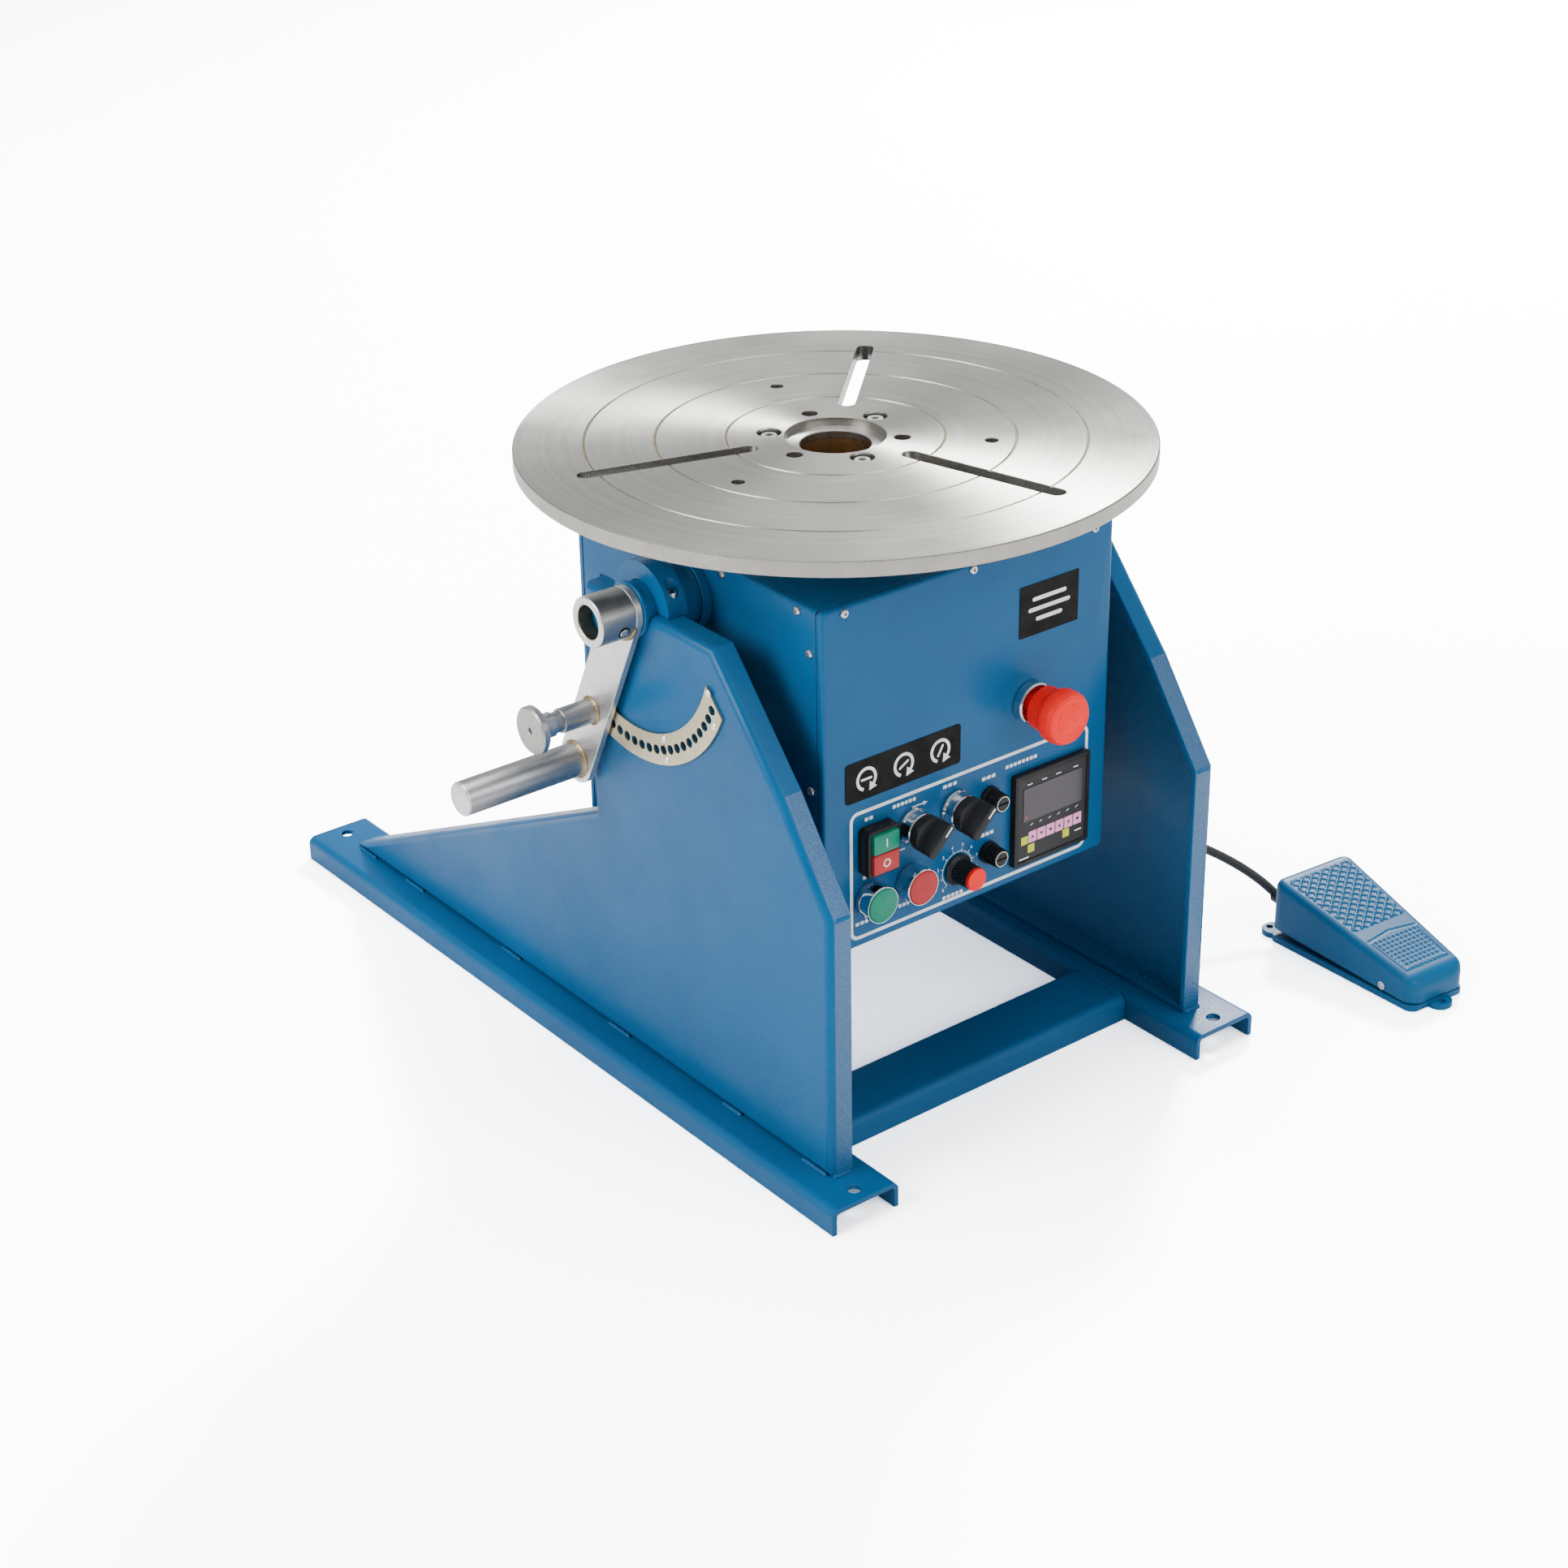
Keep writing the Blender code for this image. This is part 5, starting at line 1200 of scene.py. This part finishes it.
def power_switch():
    steps = [
        (2.5, -40.0), (2.5, GAP), (0.4, GAP), (0.0, 0.9), (0.0, 10.4), (0.5, 11.6), (1.4, 12.0), (2.8, 12.0),
        (2.8, -6.0),
    ]
    shell = panel_layers("switch_frame", 4.0, 8, steps)
    piece("switch_frame_skin", shell, "black_plastic", "tilt_head", "switch_frame")
    for body, colour in (("on", "green_plastic"), ("off", "stop_red")):
        node = body + "_key"
        shell = panel_layers(node, 1.5, 5, [(0.0, -3.0), (0.0, 14.0), (0.3, 14.7), (1.0, 15.0)])
        piece(node + "_skin", shell, colour, body, node)
    x, z = axis_of("on_key")
    ink("on_mark", stroke((x, z - 3.2), (x, z + 3.2), 1.1), 15.0, 0.15, "on")
    piece("off_mark", flat_ring(axis_of("off_key"), 2.4, 3.5, 14.98, 15.15, 40), "white_ink", "off")


def display():
    low, high = span("display_unit")
    top = 6.0
    steps = [
        (5.0, -62.0, 0.8), (5.0, GAP, 0.8), (0.0, GAP, 2.0), (0.0, top - 0.9, 2.0), (0.3, top - 0.2, 1.8),
        (1.0, top, 1.4), (3.4, top, 0.8), (3.9, top - 1.1, 0.6),
    ]
    rings = []
    for border, height, radius in steps:
        rings.append([(a, out(height), b) for a, b in framed(low, high, border, radius, 5)])
    piece("display_frame", loft(rings), "black_plastic", "tilt_head", "display_unit")
    face = top - 1.1
    flat_mark("display_face", framed(low, high, 4.2, 0.6, 2), face, "face_grey", thick=0.3)
    face += 0.3
    glass = rounded_box((low.x + 9.0, low.z + 38.5), (high.x - 8.0, high.z - 13.0), 0.8, 3)
    flat_mark("display_window", glass, face, "window", thick=0.5)
    display_marks(low, high, face)
    pitch = (high.x - low.x - 22.0) / 6.0
    for i in range(6):
        x = low.x + 15.0 + pitch * i
        key = rounded_box((x, low.z + 18.5), (x + pitch - 1.0, low.z + 28.5), 0.6, 3)
        flat_mark(f"counter_key_{i}", key, face, "key_pink", thick=0.5)
        mark_key(f"counter_key_mark_{i}", x + pitch / 2.0 - 0.5, low.z + 23.5, face + 0.5, i)
        tick = stroke((x + 2.2, low.z + 34.0), (x + 4.6, low.z + 34.8), 0.6)
        ink(f"counter_tick_{i}", tick, face)
    for i, (x, z) in enumerate(((7.2, 18.5), (14.5, 9.8), (52.0, 10.6))):
        key = rounded_box((low.x + x, low.z + z), (low.x + x + 7.0, low.z + z + 7.2), 0.6, 3)
        flat_mark(f"mode_key_{i}", key, face, "key_yellow", thick=0.5)


def mark_key(name, x, z, height, kind):
    """A small up or down triangle, or a square, on a counter key."""
    if kind % 3 == 0:
        outline = [(x - 1.6, z - 1.2), (x + 1.6, z - 1.2), (x, z + 1.6)]
    elif kind % 3 == 1:
        outline = [(x - 1.6, z + 1.2), (x, z - 1.6), (x + 1.6, z + 1.2)]
    else:
        outline = [(x - 1.2, z - 1.2), (x + 1.2, z - 1.2), (x + 1.2, z + 1.2), (x - 1.2, z + 1.2)]
    flat_mark(name, outline, height, "face_grey", thick=0.08)


def display_marks(low, high, face):
    """Small printed bars over the window and a red lamp at its corner."""
    for i, share in enumerate((0.17, 0.36, 0.55, 0.78)):
        x = low.x + (high.x - low.x) * share
        ink(f"display_bar_{i}", stroke((x, high.z - 10.2), (x + 4.5, high.z - 10.2), 0.9), face)
    lamp = circle((low.x + 12.0, low.z + 42.5), 1.0, 20)
    flat_mark("display_lamp", lamp, face + 0.5, "lamp_red", thick=0.15)
    for i, (x, z, length) in enumerate(((6.5, 5.8, 9.0), (66.0, 12.5, 6.0))):
        bar = stroke((low.x + x, low.z + z), (low.x + x + length, low.z + z), 1.3)
        ink(f"display_foot_bar_{i}", bar, face)


def panel_print():
    """The white border, the blank label plates and plain marks in place of words."""
    outer = rounded_box((-120.3, 169.5), (125.0, 280.0), 8.0, 10)
    border = prism(outer, "Y", out(0.18), out(0.02))
    hollow = prism(inset(outer, 2.9), "Y", out(1.0), out(-1.0))
    piece("panel_border", border, "white_ink", "tilt_head", cuts=[hollow])
    plate = 0.5
    label = rounded_box((-124.5, 289.0), (-10.5, 322.5), 3.0, 8)
    flat_mark("label_plate", label, 0.0, "label_black", thick=plate)
    label_symbols(plate)
    badge = rounded_box((48.0, 374.6), (109.0, 417.5), 0.8, 3)
    flat_mark("badge_plate", badge, 0.0, "label_black", thick=plate)
    badge_symbol(plate)
    word_bars()


def label_symbols(height):
    """Three generic pictograms: a turning arrow round a bar that leans further each time."""
    for i, x in enumerate((-104.0, -67.5, -31.0)):
        centre = (x, 305.7)
        ring = arc(centre, 10.0, -40.0, 250.0, 40) + arc(centre, 7.4, 250.0, -40.0, 40)
        ink(f"label_arc_{i}", ring, height)
        end = polar(centre, 8.7, -40.0)
        arrow = [polar(end, 4.4, 140.0), polar(end, 6.5, -130.0), polar(end, 4.4, -40.0)]
        ink(f"label_arrow_{i}", arrow, height, 0.12)
        ends = [polar(centre, 4.6, 30.0 * i + half_turn) for half_turn in (0.0, 180.0)]
        ink(f"label_bar_{i}", stroke(*ends, 2.0), height, 0.14)


def badge_symbol(height):
    x, z = 78.5, 396.0
    for i, (rise, width) in enumerate(((8.5, 32.0), (0.0, 40.0), (-8.5, 24.0))):
        bar = stroke((x - width / 2.0, z + rise), (x + width / 2.0, z + rise), 3.4)
        ink(f"badge_bar_{i}", bar, height)


def word_bars():
    """Short printed bars where the panel names its controls."""
    bars = (
        ("on", -101.0, 271.0, 9.0), ("direction", -66.0, 272.5, 24.0), ("auto", -20.0, 272.5, 15.0),
        ("fuse_upper", 20.0, 266.0, 15.0), ("fuse_lower", 19.5, 216.5, 14.0), ("off", -103.0, 221.5, 9.0),
        ("start", -108.0, 183.0, 14.0), ("stop", -66.0, 184.0, 12.0), ("speed", -16.0, 174.5, 22.0),
        ("preset", 54.0, 268.5, 34.0),
    )
    for name, x, z, length in bars:
        half = length / 2.0
        count = max(2, int(length / 4.0))
        for i in range(count):
            left = x - half + length * i / count
            bar = rounded_box((left, z - 1.5), (left + length / count - 1.1, z + 1.5), 0.5, 2)
            ink(f"print_{name}_{i}", bar)
    arrows = (("left", -80.0, -66.0, -76.8, 233.0), ("right", -44.0, -58.0, -47.2, 266.0))
    for name, tip, tail, back, z in arrows:
        ink(f"arrow_{name}_shaft", stroke((tail, z), (tip, z), 1.0))
        ink(f"arrow_{name}_head", [(tip, z), (back, z + 2.0), (back, z - 2.0)], thick=0.12)


# ---------------------------------------------------------------- foot switch

def pedal_place(point):
    x, y, z = point
    turned_x = x * math.cos(PEDAL_TURN) - y * math.sin(PEDAL_TURN)
    turned_y = x * math.sin(PEDAL_TURN) + y * math.cos(PEDAL_TURN)
    return (PEDAL_PLACE[0] + turned_x, PEDAL_PLACE[1] + turned_y, z)


def pedal_piece(name, shell, material, body, replaces=(), adds=(), cuts=()):
    """A piece of the foot switch, from points in the switch's own place."""
    adds, cuts = ([moved(item, pedal_place) for item in items] for items in (adds, cuts))
    return piece(name, moved(shell, pedal_place), material, body, replaces, adds=adds, cuts=cuts)


def pedal_half_width(y):
    return 31.0 + 12.0 * (y + TREADLE_END) / (2.0 * TREADLE_END)


def tread(x, y):
    """How far the tread stands over the treadle's top at a place."""
    reach = pedal_half_width(y) - 7.0
    edge = max(0.0, min(1.0, (reach - abs(x)) / 1.5))
    if y > -8.0:
        limit = max(0.0, min(1.0, (70.0 - y) / 1.5)) * min(1.0, (y + 8.0) / 1.5)
        rise = 0.0
        for slope in (0.82, -0.82):
            along = (y + slope * x) / 9.4
            away = abs(along - round(along)) * 9.4
            rise = max(rise, 1.0 - min(1.0, max(0.0, away - 0.75) / 0.8))
        return rise * edge * limit
    if y > -26.0:
        crease = abs(y + 19.0 + 6.0 * abs(x) / 40.0)
        return -0.6 * (1.0 - min(1.0, max(0.0, crease - 0.35) / 0.5)) * edge
    if y > -66.0:
        u, v = x / 5.0 - 0.5, y / 4.6
        away = math.hypot((u - round(u)) * 5.0, (v - round(v)) * 4.6)
        margin = min(edge, max(0.0, min(1.0, (reach - 4.0 - abs(x)) / 0.8)))
        dots = -0.9 * (1.0 - min(1.0, max(0.0, away - 1.0) / 0.6)) * margin
        rim = 0.7 if reach - 2.6 < abs(x) < reach - 0.6 or y < -63.5 else 0.0
        return dots + rim * edge
    return 0.0


def treadle_station(y, samples):
    """One arch across the treadle at a place along it, from the left foot over the top to the right foot."""
    corner, nose = 12.0, 11.0
    from_end = TREADLE_END - abs(y)
    pull = corner - math.sqrt(max(0.0, corner * corner - max(0.0, corner - from_end) ** 2))
    width = pedal_half_width(y) - pull
    top = 31.0 + 28.5 * (y + 72.0) / 144.0
    crown = 10.0 if y > 0.0 else nose
    drop = crown - math.sqrt(max(0.0, crown * crown - max(0.0, crown - from_end) ** 2))
    top -= drop
    foot = 7.4 + 6.6 * (y + TREADLE_END) / (2.0 * TREADLE_END)
    shoulder = 6.0
    ring = []
    for i in range(8):
        ring.append((-width, y, foot + (top - shoulder - foot) * i / 8.0))
    for a, b in arc((-width + shoulder, top - shoulder), shoulder, 180.0, 90.0, 8):
        ring.append((a, y, b))
    inner = width - shoulder
    for i in range(1, samples):
        x = -inner + 2.0 * inner * i / samples
        ring.append((x, y, top + tread(x, y) * (1.0 if from_end > crown else 0.0)))
    for a, b in arc((width - shoulder, top - shoulder), shoulder, 90.0, 0.0, 8):
        ring.append((a, y, b))
    for i in range(1, 9):
        ring.append((width, y, top - shoulder - (top - shoulder - foot) * i / 8.0))
    return ring


def treadle():
    rounding = [TREADLE_END - 12.0 * (1.0 - math.cos(math.radians(9.0 * i))) for i in range(10)]
    stations = [-y for y in rounding]
    stations += [-70.0 + 0.72 * i for i in range(195)]
    stations += rounding[::-1]
    arches = [treadle_station(y, 96) for y in stations]
    count = len(arches[0])
    verts = [pedal_place(point) for ring in arches for point in ring]
    faces = []
    for level in range(len(arches) - 1):
        for i in range(count - 1):
            low, high = level * count, (level + 1) * count
            faces.append((low + i, low + i + 1, high + i + 1, high + i))
    faces.append(tuple(range(count)))
    faces.append(tuple(range((len(arches) - 1) * count, len(arches) * count)))
    obj = build("treadle_cover", (verts, faces))
    if obj.data.polygons[count * 40].normal.z < 0.0:
        obj.data.flip_normals()
    obj.data.materials.append(MATERIALS["pedal_paint"])
    obj.data.shade_smooth()
    obj.data.set_sharp_from_angle(angle=math.radians(50.0))
    shell = obj.modifiers.new("sheet", "SOLIDIFY")
    shell.thickness = 2.2 * MM
    shell.offset = -1.0
    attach(obj, "treadle")
    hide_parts("pedal_treadle")


def pedal_base():
    outline = []
    corners = ((34.0, 73.0), (-34.0, 73.0), (-22.5, -73.0), (22.5, -73.0))
    for i, centre in enumerate(corners):
        outline += arc(centre, 9.0, 90.0 * i, 90.0 * i + 90.0, 10)
    shell = layers(outline, [(0.8, 0.0), (0.0, 0.8), (0.0, 5.4), (0.6, 6.0)], "Z")
    adds, cuts = [], []
    for centre, hole in (((0.0, -83.0), (0.0, -87.0)), ((-31.5, 86.0), (-33.5, 90.0))):
        adds.append(layers(circle(centre, 11.0, 48), [(0.6, 0.0), (0.0, 0.6), (0.0, 4.4), (0.6, 5.0)], "Z"))
        cuts.append(rod(3.2, hole, "Z", -THROUGH, 9.0))
    for x in (-26.0, 26.0):
        adds.append(box((x - 2.0, -55.0, 2.0), (x + 2.0, -41.0, 19.0)))
    cuts.append(rod(2.6, TREADLE_PIVOT, "X", -43.0, 43.0, 20))
    pedal_piece("pedal_base_skin", shell, "pedal_paint", "stand", "pedal_base", adds, cuts)


def pedal_pin():
    reach = pedal_half_width(TREADLE_PIVOT[0]) + 0.35
    profile = [
        (0.0, -reach), (1.6, -reach), (2.1, -reach + 0.5), (2.1, reach - 0.5), (1.6, reach), (0.0, reach),
    ]
    pedal_piece("pedal_pin_skin", turned(profile, TREADLE_PIVOT, "X", 32), "screw_zinc", "stand", "pedal_pin")
    washer = ((2.2, -0.3), (3.6, -0.3), (3.6, 0.1), (2.2, 0.2))
    for side, label in SIDES:
        ring = turned([(radius, side * (reach + rise)) for radius, rise in washer], TREADLE_PIVOT, "X", 32)
        pedal_piece("pedal_pin_ring_" + label, ring, "screw_zinc", "treadle")


def treadle_spring():
    """The return spring, a coil of fixed length on the stand."""
    radius, wire, turns, low, high = 7.0, 0.8, 5, 7.2, 51.4
    steps = 24 * turns
    path = []
    for i in range(steps + 1):
        a, b = polar(SPRING_SPOT, radius, 360.0 * turns * i / steps)
        path.append(pedal_place((a, b, low + (high - low) * i / steps)))
    coil = swept(path, [wire] * len(path), 12)
    spring = piece("treadle_spring", coil, "screw_zinc", "stand", "pedal_spring")
    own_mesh(spring)


def bezier(points, count):
    path = []
    for i in range(count + 1):
        t = i / count
        weights = ((1 - t) ** 3, 3 * t * (1 - t) ** 2, 3 * t * t * (1 - t), t ** 3)
        path.append(tuple(sum(w * p[k] for w, p in zip(weights, points)) for k in range(3)))
    return path


def foot_cable():
    start = pedal_place((-28.0, 70.0, 34.0))
    leave = pedal_place((-28.0, 90.0, 35.0))
    toward = pedal_place((-36.0, 138.0, 61.0))
    gland = middle("cable_gland")
    enter = (WEB_FACE + 80.0, gland.y, gland.z)
    mouth = (WEB_FACE + 24.0, gland.y, gland.z)
    end = (WEB_FACE + 6.0, gland.y, gland.z)
    path = [start] + bezier([leave, toward, enter, mouth], 60) + [end]
    piece("foot_cable_skin", swept(path, [4.0] * len(path), 24), "cable_rubber", "stand", "foot_cable")
    base, tip = WEB_FACE + GAP, span("cable_gland")[1].x
    nut = []
    for scale, x in ((1.0, base), (1.0, base + 6.2), (0.93, base + 7.0)):
        nut.append([(x, gland.y + a * scale, gland.z + b * scale) for a, b in hexagon(11.0, 24)])
    bore = rod(5.0, (gland.y, gland.z), "X", base - THROUGH, tip + THROUGH)
    piece("gland_nut", loft(nut), "black_plastic", "stand", "cable_gland", cuts=[bore])
    back = base + 7.1
    dome = [(5.0, back), (9.0, back), (9.0, tip - 4.0), (8.4, tip - 2.0), (7.0, tip - 0.4), (5.0, tip)]
    piece("gland_dome", turned(dome, (gland.y, gland.z), "X", 48), "black_plastic", "stand")
    profile = ((4.3, -6.0), (7.6, -6.0), (7.6, 0.6), (6.6, 1.6), (6.2, 9.0), (5.4, 10.0), (4.3, 10.0))
    boot = [(radius, TREADLE_END + back) for radius, back in profile]
    pedal_piece("cable_boot", turned(boot, (-28.0, 34.6), "Y", 40), "black_plastic", "stand")


# ---------------------------------------------------------------- studio

def add_area(name, place, target, size, power, colour=(1.0, 1.0, 1.0)):
    light = bpy.data.lights.new(name, "AREA")
    light.shape = "RECTANGLE"
    light.size, light.size_y = size
    light.energy = power
    light.color = colour
    obj = bpy.data.objects.new(name, light)
    bpy.context.scene.collection.objects.link(obj)
    obj.location = place
    obj.rotation_euler = (Vector(target) - Vector(place)).to_track_quat("-Z", "Y").to_euler()


def white_floor():
    """A pale floor that reads as white paper to the camera and reflects like a normal floor elsewhere."""
    recipe = Recipe("floor_white", (0.90, 0.90, 0.90), 0.6, 0.0)
    tree = recipe.tree
    seen = tree.nodes.new("ShaderNodeBsdfDiffuse")
    tone = recipe.mix(recipe.spread(recipe.noise(1.5, 2.0), 0.0, 1.0), (4.9, 4.9, 4.9), (5.1, 5.1, 5.1))
    recipe.put(seen.inputs["Color"], tone)
    path = tree.nodes.new("ShaderNodeLightPath")
    blend = tree.nodes.new("ShaderNodeMixShader")
    sources = (path.outputs["Is Camera Ray"], recipe.shader.outputs["BSDF"], seen.outputs["BSDF"])
    for socket, source in zip(blend.inputs, sources):
        recipe.put(socket, source)
    output = tree.nodes["Material Output"]
    recipe.put(output.inputs["Surface"], blend.outputs["Shader"])
    mesh = bpy.data.meshes.new("floor")
    reach = 14.0
    corners = [(-reach, -reach, 0.0), (reach, -reach, 0.0), (reach, reach, 0.0), (-reach, reach, 0.0)]
    mesh.from_pydata(corners, [], [(0, 1, 2, 3)])
    mesh.materials.append(MATERIALS["floor_white"])
    floor = bpy.data.objects.new("floor", mesh)
    bpy.context.scene.collection.objects.link(floor)


def soft_surroundings():
    """An even white surround that falls off toward the camera's side, so bare metal keeps its contrast."""
    world = bpy.data.worlds.new("studio")
    bpy.context.scene.world = world
    world.use_nodes = True
    nodes, links = world.node_tree.nodes, world.node_tree.links
    coordinates = nodes.new("ShaderNodeTexCoord")
    facing = nodes.new("ShaderNodeVectorMath")
    facing.operation = "DOT_PRODUCT"
    facing.inputs[1].default_value = (-0.61, -0.77, 0.20)
    links.new(coordinates.outputs["Generated"], facing.inputs[0])
    level = nodes.new("ShaderNodeMapRange")
    level.interpolation_type = "SMOOTHSTEP"
    for key, number in (("From Min", 0.35), ("From Max", 0.95), ("To Min", 0.86), ("To Max", 0.36)):
        level.inputs[key].default_value = number
    links.new(facing.outputs["Value"], level.inputs["Value"])
    links.new(level.outputs["Result"], nodes["Background"].inputs["Strength"])
    nodes["Background"].inputs["Color"].default_value = (1.0, 1.0, 1.0, 1.0)


def studio():
    white_floor()
    soft_surroundings()
    target = (AXIS_X, AXIS_Y, 0.3)
    add_area("key_light", (3.48, 2.16, 3.24), (AXIS_X, AXIS_Y, 0.5), (0.75, 0.75), 360.0)
    add_area("top_light", (0.1, 0.2, 4.4), (0.0, 0.0, 0.0), (2.6, 2.6), 110.0)
    add_area("left_light", (-3.0, 0.4, 1.9), target, (1.8, 1.6), 95.0)
    add_area("front_light", (0.3, -3.3, 2.0), target, (2.8, 2.0), 66.0)


def camera():
    azimuth, elevation, roll = math.radians(-37.95), math.radians(27.12), math.radians(-0.93)
    back = Vector((math.sin(azimuth) * math.cos(elevation), -math.cos(azimuth) * math.cos(elevation),
                   math.sin(elevation)))
    right = Vector((0.0, 0.0, 1.0)).cross(back).normalized()
    up = back.cross(right)
    rolled_right = right * math.cos(roll) + up * math.sin(roll)
    rolled_up = back.cross(rolled_right)
    data = bpy.data.cameras.new("camera")
    data.lens = 69.13
    data.sensor_width = 36.0
    data.shift_x = -0.0029
    data.shift_y = -0.0071
    obj = bpy.data.objects.new("camera", data)
    bpy.context.scene.collection.objects.link(obj)
    turn = Matrix((rolled_right, rolled_up, back)).transposed().to_4x4()
    obj.matrix_world = Matrix.Translation(at((-1381.0, -1704.8, 1337.0))) @ turn
    bpy.context.scene.camera = obj


def main():
    make_materials()
    paint_frame()
    base_channels()
    side_plates()
    bearing_caps()
    angle_scale()
    wrapper()
    trunnions()
    lever()
    plunger()
    table()
    spindle()
    emergency_stop()
    selector("direction")
    selector("auto")
    push_button("start", "green_plastic")
    push_button("stop", "stop_red")
    fuse("upper_fuse")
    fuse("lower_fuse")
    speed_knob()
    power_switch()
    display()
    panel_print()
    treadle()
    pedal_base()
    pedal_pin()
    treadle_spring()
    foot_cable()
    studio()
    camera()


main()
